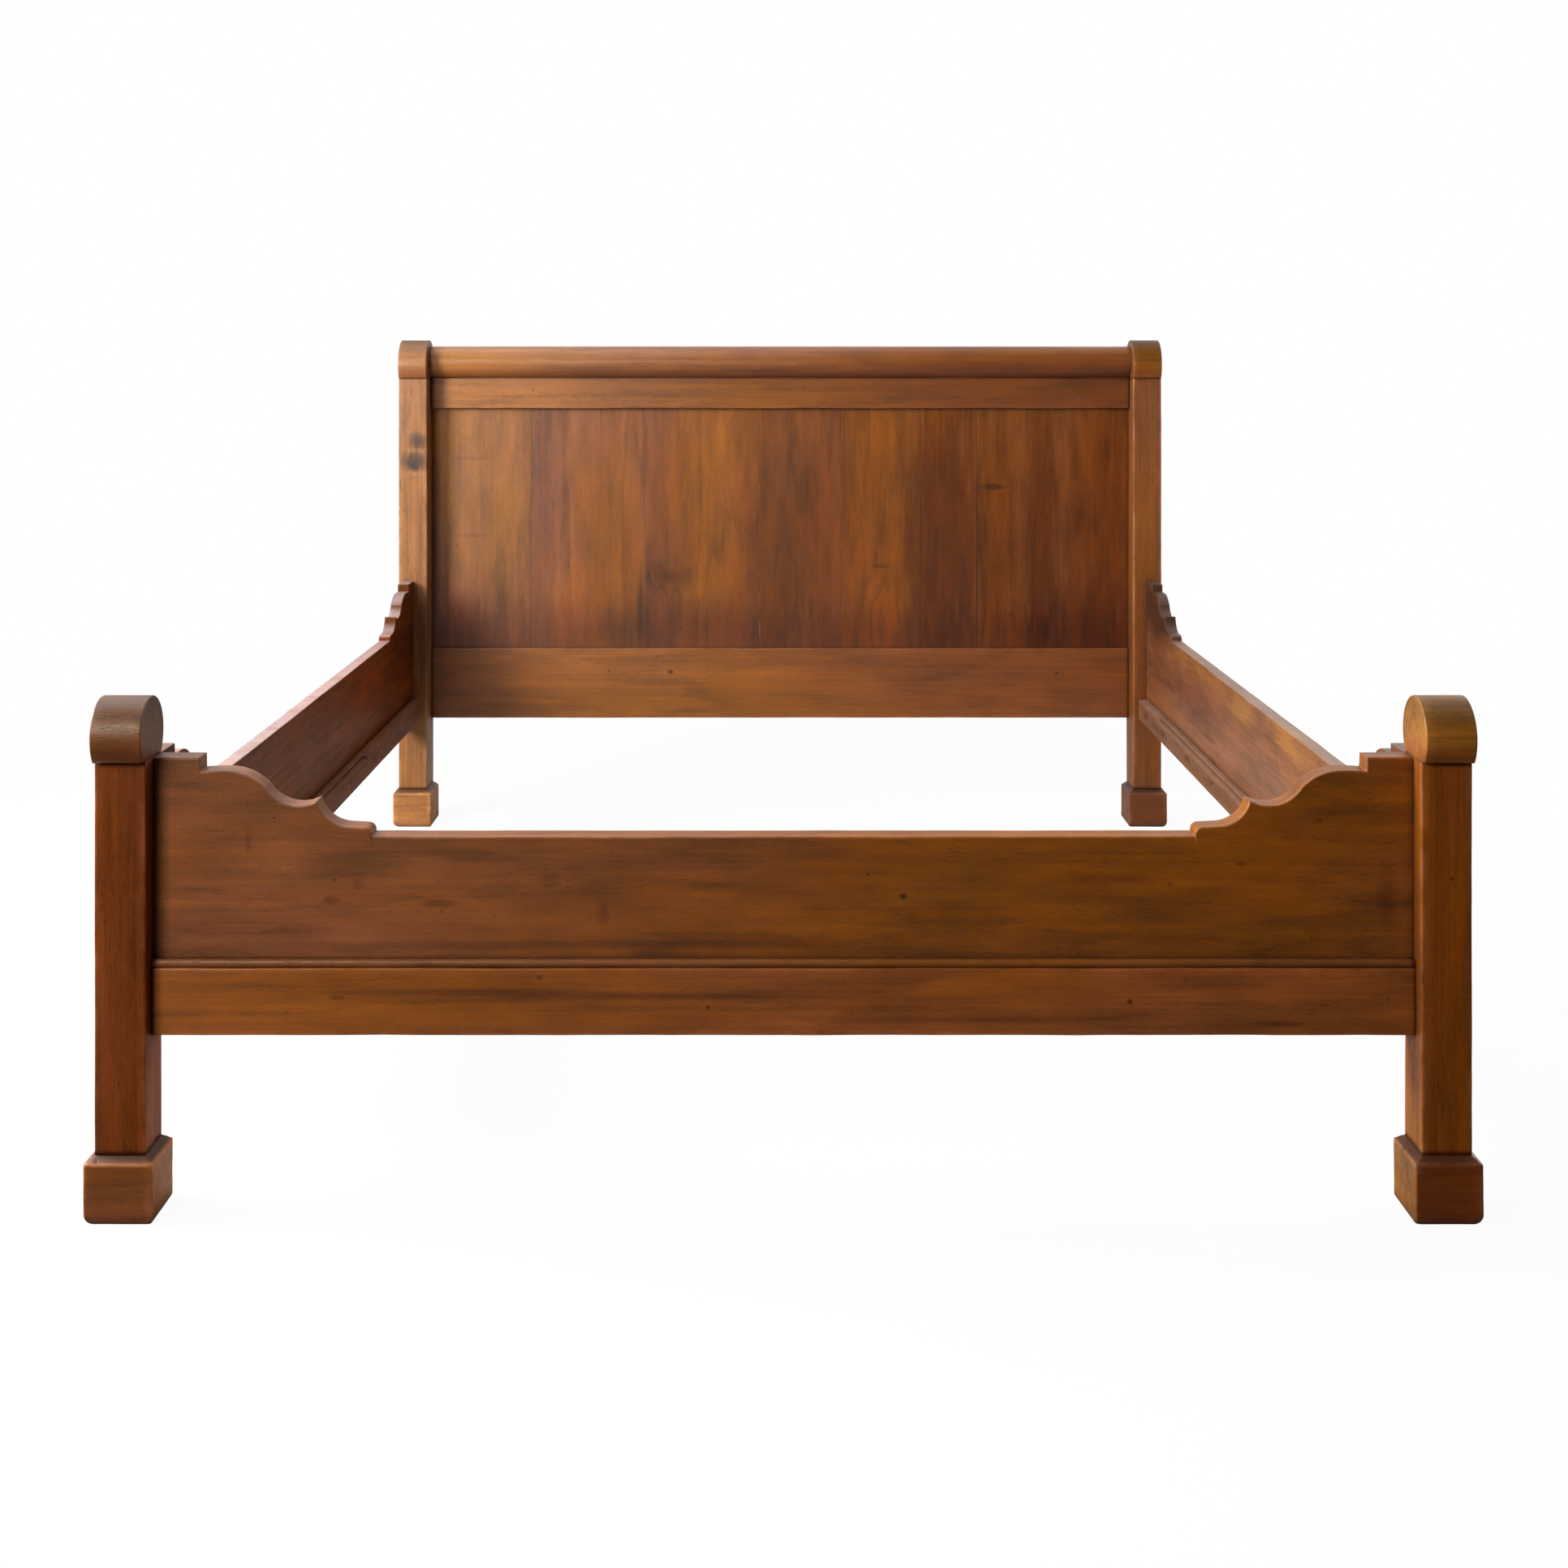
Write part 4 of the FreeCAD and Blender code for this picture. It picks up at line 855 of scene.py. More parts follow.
def walnut(name, grain, seed, tint=(1.0, 1.0, 1.0), rings=9.0, ring=0.32, fibre=0.65, cloud=0.6,
           rub=0.45, wax_and_shade=0.7, dust_and_sheen=0.0, dust_and_sheen_tint=(1.0, 1.0, 1.0), rough=0.46, gloss=0.5, marks=()):
    """Walnut under old wax. Grain is the axis that the fibres follow, tint multiplies the
    scene's middle colour, and the upward tint the pale colour of faces that look up, partly
    dustiness and partly painted sheen. The strength of dark wax in corners also sets painted
    shade there. Marks come from mark(), some of them painted light and shade."""
    middle = np.array(colours().walnut[:3]) * np.array(tint)
    light = tuple(np.clip(middle * (1.0 + colours().figure), 0.0, 1.0)) + (1.0,)
    dark = tuple(np.clip(middle * (1.0 - colours().figure), 0.0, 1.0)) + (1.0,)
    material, tree = new_material(name)
    space = tree.add("ShaderNodeTexCoord").outputs["Object"]
    parts = tree.part(space)
    order = {X_AXIS: (0, 1, 2), Y_AXIS: (1, 0, 2), Z_AXIS: (2, 0, 1)}[grain]
    along = tree.join(*(parts[number] for number in order))
    swirl = 0.0
    masks = []
    for centre, size, stain, soft, ragged, flow in marks:
        spot = tree.made("ShaderNodeGroup", {
            "Position": along,
            "Centre": tuple(centre[number] for number in order),
            "Size": tuple(size[number] for number in order),
            "Softness": soft,
            "Break": ragged,
        }, node_tree=shared("mark")).outputs
        masks.append((spot["Mask"], stain))
        if flow:
            swirl = tree.math("ADD", swirl, tree.math("MULTIPLY", spot["Flow"], flow))
    figure = tree.made("ShaderNodeGroup", {
        "Position": along,
        "Light": light,
        "Dark": dark,
        "Seed": seed,
        "Rings": rings,
        "Ring strength": ring,
        "Fibre strength": fibre,
        "Cloud strength": cloud,
        "Roughness": rough,
        "Swirl": swirl,
    }, node_tree=shared("figure")).outputs
    colour = figure["Color"]
    sheen_and_dust_colour = tuple(np.array(colours().dust_and_sheen[:3]) * np.array(dust_and_sheen_tint)) + (1.0,)
    for mask, stain in masks:
        colour = tree.mix(mask, colour, stain, "MULTIPLY")
        if dust_and_sheen:
            sheen_and_dust_colour = tree.mix(mask, sheen_and_dust_colour, stain, "MULTIPLY")
    age = tree.made("ShaderNodeGroup", {
        "Color": colour,
        "Roughness": figure["Roughness"],
        "Height": figure["Height"],
        "Position": space,
        "Rub": tree.add("ShaderNodeAttribute", attribute_name="rub").outputs["Fac"],
        "Rub strength": rub,
        "Grime strength": wax_and_shade,
        "Dust": sheen_and_dust_colour,
        "Dust strength": dust_and_sheen,
    }, node_tree=shared("age")).outputs
    looks = {"Specular IOR Level": gloss, "Base Color": age["Color"], "Roughness": age["Roughness"]}
    tree.coat(looks, age["Height"], 0.35, 0.0006)
    return material


def dull_steel(name, seed):
    """Forged steel gone dull: brown and grey clouds and small pits."""
    material, tree = new_material(name)
    space = tree.add("ShaderNodeTexCoord").outputs["Object"]
    moved = tree.vector("ADD", space, (seed, seed * 0.7, seed * 1.3))
    cloud = tree.noise(moved, 40.0, 40.0, 4.0, 0.6)
    pits = tree.noise(moved, 600.0, 600.0, 2.0, 0.5)
    looks = {
        "Base Color": tree.mix(tree.span(cloud, 0.35, 0.65), colours().steel, RUST),
        "Metallic": tree.span(cloud, 0.4, 0.7, 0.95, 0.6),
        "Roughness": tree.span(pits, 0.3, 0.7, 0.4, 0.65),
    }
    tree.coat(looks, pits, 0.3, 0.0003)
    return material


def dress(material, *nodes):
    """Put a material in every slot of CAD nodes that stay as they are."""
    for name in nodes:
        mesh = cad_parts[name].data
        if not mesh.materials:
            mesh.materials.append(material)
        for number in range(len(mesh.materials)):
            mesh.materials[number] = material


class BED_OT_footboard(bpy.types.Operator):
    """Make the footboard's lower rail, its bead and the scalloped panel"""

    bl_idname = "bed.make_footboard"
    bl_label = "Footboard"
    bl_options = {"REGISTER", "UNDO"}

    def execute(self, context):
        plane = -1.035
        wood = walnut("foot rail walnut", X_AXIS, 2.9, (1.3, 1.2, 0.88), rings=8.0, cloud=0.8,
                      wax_and_shade=0.45, marks=[
            mark((-0.094, plane, 0.257), (0.003, 0.01, 0.0025), 0.3, flow=0.6),
            mark((0.431, plane, 0.264), (0.004, 0.01, 0.0035), 0.3, flow=0.8),
            mark((-0.555, plane, 0.269), (0.010, 0.01, 0.003), 0.6),
            mark((-0.303, plane, 0.294), (0.003, 0.01, 0.002), 0.5),
            mark((0.619, plane, 0.236), (0.030, 0.01, 0.003), 0.65),
            mark((-0.38, plane, 0.276), (0.16, 0.02, 0.005), 0.6, 0.7, 0.5),
            mark((-0.14, plane, 0.270), (0.14, 0.02, 0.004), 0.6, 0.7, 0.5),
            mark((0.25, plane, 0.242), (0.16, 0.02, 0.005), 0.7, 0.8, 0.5),
            # Painted shadow of the left post on the rail's end.
            mark((-0.80, plane, 0.26), (0.018, 0.03, 0.2), 0.5, 0.8, 0.1),
            mark((-0.62, plane, 0.255), (0.10, 0.02, 0.020), (1.12, 1.15, 1.1), 0.9, 0.5),
        ])
        add_rail("foot_rail", wood, 11)
        self.add_bead()
        plane = -1.025
        wood = walnut("foot panel walnut", X_AXIS, 4.2, (1.08, 1.04, 0.9), rings=10.0, ring=0.36,
                      fibre=0.5, cloud=1.0, wax_and_shade=0.55, marks=[
            mark((-0.68, plane, 0.53), (0.12, 0.02, 0.05), (0.82, 0.82, 0.8), 0.9, 0.3),
            mark((0.150, plane, 0.392), (0.004, 0.01, 0.0035), 0.3, flow=0.8),
            mark((-0.565, plane, 0.386), (0.010, 0.01, 0.006), 0.65, flow=1.0),
            mark((-0.432, plane, 0.384), (0.020, 0.01, 0.005), 0.65, flow=0.7),
            mark((-0.292, plane, 0.412), (0.012, 0.01, 0.008), 0.72, 0.8),
            mark((-0.225, plane, 0.372), (0.006, 0.01, 0.016), 0.72, 0.9),
            mark((-0.531, plane, 0.408), (0.006, 0.01, 0.008), 0.75, 0.8),
            mark((-0.668, plane, 0.462), (0.004, 0.01, 0.012), 0.7, 0.8),
            mark((-0.730, plane, 0.401), (0.035, 0.01, 0.004), 0.68, 0.7),
            mark((0.572, plane, 0.433), (0.008, 0.01, 0.003), 0.6, flow=0.5),
            mark((0.483, plane, 0.408), (0.003, 0.01, 0.003), 0.6),
            mark((0.753, plane, 0.391), (0.010, 0.01, 0.030), 0.68, 0.9),
            mark((0.413, plane, 0.414), (0.060, 0.01, 0.007), 0.75, 0.8),
            mark((0.668, plane, 0.487), (0.005, 0.01, 0.003), 0.65),
            mark((-0.70, plane, 0.353), (0.10, 0.01, 0.010), 0.85, 0.9, 0.5, 1.5),
            mark((-0.64, plane, 0.43), (0.05, 0.01, 0.025), (1.14, 1.2, 1.1), 0.9, 0.6),
            mark((-0.48, plane, 0.42), (0.06, 0.01, 0.02), (1.12, 1.15, 1.05), 0.9, 0.6),
            mark((0.62, plane, 0.41), (0.14, 0.01, 0.012), (1.15, 1.12, 1.0), 0.9, 0.6),
            # These two marks are painted shadows of the posts on the panel's ends.
            mark((-0.80, plane, 0.43), (0.020, 0.03, 0.3), 0.4, 0.8, 0.1),
            mark((0.80, plane, 0.43), (0.014, 0.03, 0.3), 0.55, 0.8, 0.1),
            mark((-0.35, plane, 0.331), (0.35, 0.02, 0.005), 0.7, 0.8, 0.4),
        ])
        low, high = box_of("foot_panel")
        inner = half_bay()
        bottom = float(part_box("foot_bead")[0][2])
        dip = (high[2] - bottom) * 0.379
        path = scallop_path(inner * 2.0, high[2] - dip, dip, 0.214, 0.059, 0.059)
        path[:, 0] -= inner
        path[0, 0] -= INTO_POST
        path[-1, 0] += INTO_POST
        add_scalloped("foot_panel", X_AXIS, wood, 21, path, bottom,
                      low[1], high[1], 1.1)
        return {"FINISHED"}

    def add_bead(self):
        """The bead: a flat back and a half-round front, carried across the bed."""
        wood = walnut("bead walnut", X_AXIS, 6.1, (0.92, 0.9, 0.9), rings=7.0, rub=0.25, wax_and_shade=0.3)
        low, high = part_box("foot_bead")
        inner = half_bay()
        places = place_steps(-inner, inner, 0.008)
        middle = (low[2] + high[2]) / 2.0
        half = (high[2] - low[2]) / 2.0
        angles = np.radians(np.linspace(90.0, 270.0, 18))
        bow = half * 0.88
        behind = high[1] + 0.001
        rest = np.linspace(-1.0, 1.0, 6)[1:-1]
        ring_y = np.concatenate([
            [behind], low[1] + bow + bow * np.cos(angles), np.full(len(rest) + 1, behind)])
        ring_z = np.concatenate([
            [high[2]], middle + half * np.sin(angles), [low[2]], middle + half * rest])
        ring = np.repeat(np.stack([ring_y, ring_z], axis=-1)[None], len(places), axis=0)
        points = wander(carry(ring, places, X_AXIS), 31, wear().face_wave * 0.7)
        edge = np.zeros(points.shape[:2])
        edge[:, 3:17] = 0.8
        add_surface("foot_bead", points, edge, wood)


class BED_OT_posts(bpy.types.Operator):
    """Make the four square posts with their worn edges"""

    bl_idname = "bed.make_posts"
    bl_label = "Posts"
    bl_options = {"REGISTER", "UNDO"}

    def execute(self, context):
        # Each post's tint and gloss: the post's own tone, and partly painted light and shade, with a pale
        # painted sheen on the left head post.
        looks = {
            "foot_post_left": ((0.79, 0.6, 0.12), 0.08),
            "foot_post_right": ((1.16, 1.0, 0.75), 0.3),
            "head_post_left": ((1.05, 1.35, 2.2), 0.5),
            "head_post_right": ((1.05, 1.0, 0.7), 0.5),
        }
        for seed, (node, (tint, gloss)) in enumerate(looks.items(), 41):
            low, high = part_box(node)
            middle = middle_of(node)
            marks = [
                mark(middle + (low[2],), (0.09, 0.09, 0.006), 0.5, 0.6, 0.2),
                mark(middle + (high[2],), (0.09, 0.09, 0.004), 0.6, 0.6, 0.2),
            ]
            if node == "head_post_left":
                marks += [
                    mark((-0.812, low[1], 0.812), (0.029, 0.02, 0.022), (0.32, 0.25, 0.27), 0.4, 0.4, 2.2),
                    mark((-0.815, low[1], 0.806), (0.014, 0.02, 0.013), (0.3, 0.26, 0.3), 0.6, 0.6),
                    mark((-0.814, low[1], 0.785), (0.022, 0.02, 0.007), (1.15, 1.25, 1.9), 0.6, 0.3),
                    mark((-0.814, low[1], 0.837), (0.024, 0.02, 0.004), (1.1, 1.3, 2.0), 0.5, 0.3),
                    mark((-0.807, low[1], 0.856), (0.018, 0.02, 0.018), (0.24, 0.2, 0.24), 0.6, 0.4, 1.0),
                    mark((-0.817, low[1], 0.872), (0.022, 0.02, 0.005), (0.85, 1.0, 1.3), 0.6, 0.3),
                    # Painted shadow of the left side rail on the post's front, below the rail's top.
                    mark((-0.785, low[1], 0.42), (0.022, 0.02, 0.13), (0.42, 0.34, 0.36), 0.5, 0.2),
                    mark((-0.802, low[1], 0.640), (0.008, 0.02, 0.16), (0.8, 0.75, 0.8), 0.8, 0.4),
                ]
            if node == "head_post_right":
                marks.append(mark(middle + (0.25,), (0.1, 0.1, 0.30), (0.62, 0.55, 0.55), 0.6, 0.1))
            # Painted light on the inner side faces of the foot posts, with a pale painted sheen low on the
            # right one.
            if node == "foot_post_left":
                place = (high[0], middle[1], 0.1)
                marks.append(mark(place, (0.002, 0.09, 0.5), (1.45, 1.1, 0.4), 0.4, 0.1))
            if node == "foot_post_right":
                place = (low[0], middle[1], 0.1)
                marks.append(mark(place, (0.002, 0.09, 0.05), (1.3, 1.6, 2.2), 0.4, 0.1))
            wood = walnut(node.replace("_", " ") + " walnut", Z_AXIS, seed * 0.37, tint, rings=6.0,
                          fibre=0.8, rub=0.9, rough=0.52, gloss=gloss, marks=marks)
            add_bar(node, Z_AXIS, wood, seed, 1.3)
        return {"FINISHED"}


class BED_OT_caps(bpy.types.Operator):
    """Make the four rolled caps on the posts"""

    bl_idname = "bed.make_caps"
    bl_label = "Caps"
    bl_options = {"REGISTER", "UNDO"}

    def execute(self, context):
        # Each cap's tint is its own tone and partly painted light and shade: the right foot cap painted
        # paler, the left one darker.
        tints = {
            "foot_cap_left": (0.56, 0.56, 0.65),
            "foot_cap_right": (1.6, 2.1, 2.1),
            "head_cap_left": (1.15, 1.5, 1.7),
            "head_cap_right": (1.05, 1.15, 1.2),
        }
        for seed, (node, tint) in enumerate(tints.items(), 61):
            radius = 0.048 if node.startswith("foot") else 0.054
            low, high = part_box(node)
            middle = middle_of(node)
            centre = (middle[1], high[2] - radius)
            marks = [
                mark(middle + (high[2],), (0.09, 0.2, 0.030), (0.55, 0.6, 0.68), 0.6, 0.3),
                # Painted shade on the lower part of the cap, where it curves under.
                mark(middle + (low[2],), (0.09, 0.2, 0.020), (0.8, 0.66, 0.5), 0.7, 0.2),
            ]
            wood = walnut(node.replace("_", " ") + " walnut", X_AXIS, seed * 0.53, tint, rings=7.0,
                          fibre=0.9, cloud=0.9, rough=0.4, gloss=0.4, wax_and_shade=0.5, marks=marks)
            add_rolled(node, wood, seed, radius, centre, low[2], low[0], high[0], 0.0022)
        return {"FINISHED"}


class BED_OT_blocks(bpy.types.Operator):
    """Make the four foot blocks"""

    bl_idname = "bed.make_blocks"
    bl_label = "Foot blocks"
    bl_options = {"REGISTER", "UNDO"}

    def execute(self, context):
        # Each block's tint is its own tone and partly painted light and shade: a pale painted sheen on the
        # left head block, painted shade on the right one.
        tints = {
            "foot_block_left": (0.85, 0.78, 0.5),
            "foot_block_right": (0.8, 0.52, 0.2),
            "head_block_left": (1.45, 1.9, 2.8),
            "head_block_right": (0.6, 0.46, 0.25),
        }
        brows = {"left": (0.3, 0.29, 0.3), "right": (0.44, 0.48, 0.7)}
        # Painted light on the inner side face of each foot block, a pale painted sheen on the right one.
        painted_inner_light = {"left": (1.85, 1.9, 0.7), "right": (1.65, 2.9, 5.5)}
        for seed, (node, tint) in enumerate(tints.items(), 81):
            end, part, side = node.split("_")
            low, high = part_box(node)
            middle = middle_of(node)
            marks = [
                mark(middle + (high[2] + 0.001,), (0.09, 0.09, 0.009), brows[side], 0.25, 0.15),
                # Painted shade along the bottom of the block, by the floor.
                mark(middle + (0.0,), (0.09, 0.09, 0.012), (0.75, 0.7, 0.65), 0.7, 0.3),
            ]
            # Painted light on the inner side face of the foot blocks.
            if end == "foot":
                place = (high[0] if side == "left" else low[0], middle[1], 0.04)
                marks.append(mark(place, (0.0025, 0.09, 0.09), painted_inner_light[side], 0.3, 0.1))
            wood = walnut(f"{end} {part} {side} walnut", X_AXIS, seed * 0.41, tint, rings=7.0,
                          rub=0.9, wax_and_shade=0.9, rough=0.55, gloss=0.4, cloud=0.9, marks=marks)
            add_foot_block(node, f"{end}_post_{side}", wood, seed)
        return {"FINISHED"}


class BED_OT_headboard(bpy.types.Operator):
    """Make the headboard's rails, roll and upright boards"""

    bl_idname = "bed.make_headboard"
    bl_label = "Headboard"
    bl_options = {"REGISTER", "UNDO"}

    def execute(self, context):
        knots_and_painted_light = {
            "head_top_rail": [
                # Painted light and shade on the top rail: darker to the right, a painted shadow of the
                # left post at its end, a painted shadow under the roll, lighter to the left.
                mark((0.70, 1.036, 0.97), (0.8, 0.05, 0.2), (0.75, 0.6, 0.3), 0.9, 0.1),
                mark((-0.79, 1.036, 0.96), (0.035, 0.05, 0.2), (0.55, 0.42, 0.45), 0.6, 0.2),
                mark((0.0, 1.036, 0.998), (2.0, 0.05, 0.005), (0.6, 0.5, 0.45), 0.6, 0.2),
                mark((-0.72, 1.036, 0.97), (0.5, 0.05, 0.2), (1.12, 1.2, 1.2), 0.9, 0.1),
            ],
            "head_bottom_rail": [
                mark((-0.247, 1.036, 0.333), (0.006, 0.01, 0.005), 0.35, flow=1.0),
                mark((0.625, 1.036, 0.330), (0.006, 0.01, 0.004), 0.35, flow=1.0),
                # Painted shadow on the left end of the bottom rail; the last mark paints shade on its
                # right part.
                mark((-0.80, 1.036, 0.34), (0.20, 0.02, 0.3), (0.66, 0.56, 0.5), 0.9, 0.2),
                mark((-0.12, 1.036, 0.325), (0.12, 0.02, 0.02), (1.2, 1.22, 1.15), 0.9, 0.5),
                mark((0.70, 1.036, 0.34), (0.7, 0.05, 0.2), (0.85, 0.68, 0.4), 0.9, 0.1),
            ],
        }
        for node, seed in (("head_top_rail", 101), ("head_bottom_rail", 102)):
            wood = walnut(node.replace("_", " ") + " walnut", X_AXIS, seed * 0.29, (0.95, 1.0, 1.0),
                          rings=8.0, marks=knots_and_painted_light[node])
            add_rail(node, wood, seed)
        wood = walnut("head roll walnut", X_AXIS, 33.0, (1.16, 1.22, 1.0), rings=7.0, rough=0.4,
                      dust_and_sheen=0.12, marks=[
            # Painted light and shade on the roll: darker to the right, painted shade along its lower side,
            # lighter and paler to the left with a painted sheen, and darker low on the right.
            mark((0.70, 1.004, 1.04), (0.8, 0.1, 0.2), (0.85, 0.75, 0.6), 0.9, 0.1),
            mark((0.0, 1.004, 0.998), (2.0, 0.1, 0.020), (0.6, 0.5, 0.42), 0.8, 0.1),
            mark((-0.72, 1.004, 1.04), (0.5, 0.1, 0.2), (1.1, 1.25, 1.6), 0.9, 0.1),
            mark((0.75, 1.004, 1.005), (0.6, 0.1, 0.030), (0.7, 0.58, 0.4), 0.8, 0.1),
        ])
        low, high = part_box("head_roll")
        radius = 0.037
        centre = (middle_of("head_roll")[1], high[2] - radius)
        inner = half_bay()
        add_rolled("head_roll", wood, 103, radius, centre, low[2],
                   -inner, inner, 0.001)
        self.add_boards(inner)
        return {"FINISHED"}

    def add_boards(self, inner):
        """Eight boards between the rails, each with grain and tone of its own, under bands of painted
        light and shade.
        """
        shares = (0.0, 0.144, 0.306, 0.47, 0.587, 0.703, 0.783, 0.855, 1.0)
        tongue = 0.004
        bottom = float(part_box("head_bottom_rail")[1][2]) - tongue
        low, high = box_of("head_board_1")
        top = high[2] - 0.010 + tongue
        plane = 1.041
        # Bands of tone across the boards that also carry painted light and shade: a painted shadow of the
        # left post at the far left, a pale painted sheen on the left boards, darker boards to the right.
        bands = [
            mark((place, plane, 0.62), (half, 0.01, 0.34), tint, soft, ragged)
            for place, half, tint, soft, ragged in (
                (-0.795, 0.035, (0.75, 0.6, 0.8), 0.6, 0.3),
                (-0.680, 0.150, (1.1, 1.37, 2.7), 0.6, 0.5),
                (-0.545, 0.034, (0.84, 0.8, 0.85), 0.7, 0.5),
                (-0.400, 0.100, (1.02, 1.04, 1.25), 0.6, 0.5),
                (-0.270, 0.030, (0.84, 0.78, 0.9), 0.8, 0.5),
                (-0.150, 0.060, (1.14, 1.18, 1.25), 0.7, 0.5),
                (-0.010, 0.080, (0.7, 0.64, 0.62), 0.6, 0.5),
                (0.105, 0.050, (0.8, 0.68, 0.5), 0.7, 0.5),
                (0.205, 0.050, (1.08, 1.0, 0.78), 0.7, 0.5),
                (0.370, 0.085, (0.56, 0.43, 0.28), 0.5, 0.5),
                (0.490, 0.040, (0.9, 0.78, 0.34), 0.6, 0.5),
                (0.585, 0.035, (0.72, 0.54, 0.2), 0.7, 0.5),
                (0.730, 0.080, (0.82, 0.66, 0.26), 0.6, 0.5),
            )
        ]
        # Painted light along the top of the boards, painted shade along their bottom, the painted shadow
        # of the left side rail at the lower left and painted shade at the lower right.
        bands += [
            mark((0.0, plane, 0.97), (3.0, 0.02, 0.18), (1.15, 1.18, 1.2), 0.9, 0.2),
            mark((0.0, plane, 0.39), (3.0, 0.02, 0.08), (0.66, 0.52, 0.4), 0.8, 0.2),
            mark((-0.76, plane, 0.42), (0.16, 0.02, 0.09), (0.62, 0.34, 0.15), 0.9),
            mark((0.70, plane, 0.42), (0.18, 0.02, 0.09), (0.8, 0.66, 0.5), 0.9, 0.4),
            mark((-0.360, plane, 0.43), (0.060, 0.02, 0.040), (0.68, 0.7, 0.8), 0.9),
            mark((-0.150, plane, 0.44), (0.10, 0.02, 0.04), (0.85, 0.8, 0.75), 0.9),
        ]
        looks = (
            (0.3, [
                mark((-0.694, plane, 0.815), (0.040, 0.01, 0.004), 0.8, 0.8),
                mark((-0.694, plane, 0.641), (0.040, 0.01, 0.004), 0.8, 0.8),
            ]),
            (0.32, [
                mark((-0.457, plane, 0.48), (0.045, 0.01, 0.08), (1.25, 1.15, 0.85), 0.8),
                mark((-0.520, plane, 0.72), (0.030, 0.01, 0.10), (0.85, 0.85, 1.1), 0.9, 0.7),
                mark((-0.314, plane, 0.47), (0.008, 0.01, 0.07), (0.5, 0.45, 0.45), 0.8, 0.6, 1.0),
            ]),
            (0.36, [
                mark((-0.255, plane, 0.549), (0.045, 0.01, 0.022), (0.6, 0.54, 0.56), 0.9, 0.8, 1.2),
                mark((-0.300, plane, 0.50), (0.012, 0.01, 0.08), (0.65, 0.6, 0.6), 0.9),
                mark((-0.05, plane, 0.50), (0.070, 0.01, 0.20), 1.0, 0.5, 0.3, 1.8),
            ]),
            (0.3, [
                mark((0.02, plane, 0.53), (0.03, 0.01, 0.09), 0.85, 0.8, 0.7, 1.5),
            ]),
            (0.36, [
                mark((0.228, plane, 0.571), (0.018, 0.01, 0.004), 0.6, 0.6),
                mark((0.230, plane, 0.45), (0.040, 0.01, 0.08), (1.1, 1.05, 0.95), 0.7, 0.4, 1.6),
            ]),
            (0.3, [
                mark((0.4455, plane, 0.61), (0.0012, 0.02, 0.22), 0.25, 0.5, 0.2),
            ]),
            (0.34, [
                mark((0.4455, plane, 0.61), (0.0012, 0.02, 0.22), 0.25, 0.5, 0.2),
                mark((0.484, plane, 0.751), (0.024, 0.01, 0.006), 0.5, 0.7, 0.5, 1.2),
                mark((0.520, plane, 0.463), (0.004, 0.01, 0.003), 0.5, 0.9),
            ]),
            (0.34, [
                mark((0.600, plane, 0.428), (0.030, 0.01, 0.030), (0.62, 0.55, 0.5), 0.9, 0.6, 1.0),
            ]),
        )
        for number, (ring, marks) in enumerate(looks):
            node = f"head_board_{number + 1}"
            left = -inner + 2.0 * inner * shares[number]
            right = -inner + 2.0 * inner * shares[number + 1]
            marks += [band for band in bands if left - band[1][0] < band[0][0] < right + band[1][0]]
            wood = walnut(f"head board {number + 1} walnut", Z_AXIS, 5.0 + number * 1.7,
                          (0.8, 0.75, 0.72), rings=7.0, ring=ring, fibre=0.4, cloud=0.85, rub=0.1,
                          gloss=0.5 - 0.03 * number, marks=marks)
            box = ((left, low[1], bottom), (right, high[1], top))
            add_bar(node, Z_AXIS, wood, 111 + number, 0.3, (14, 4, 14, 4), box)


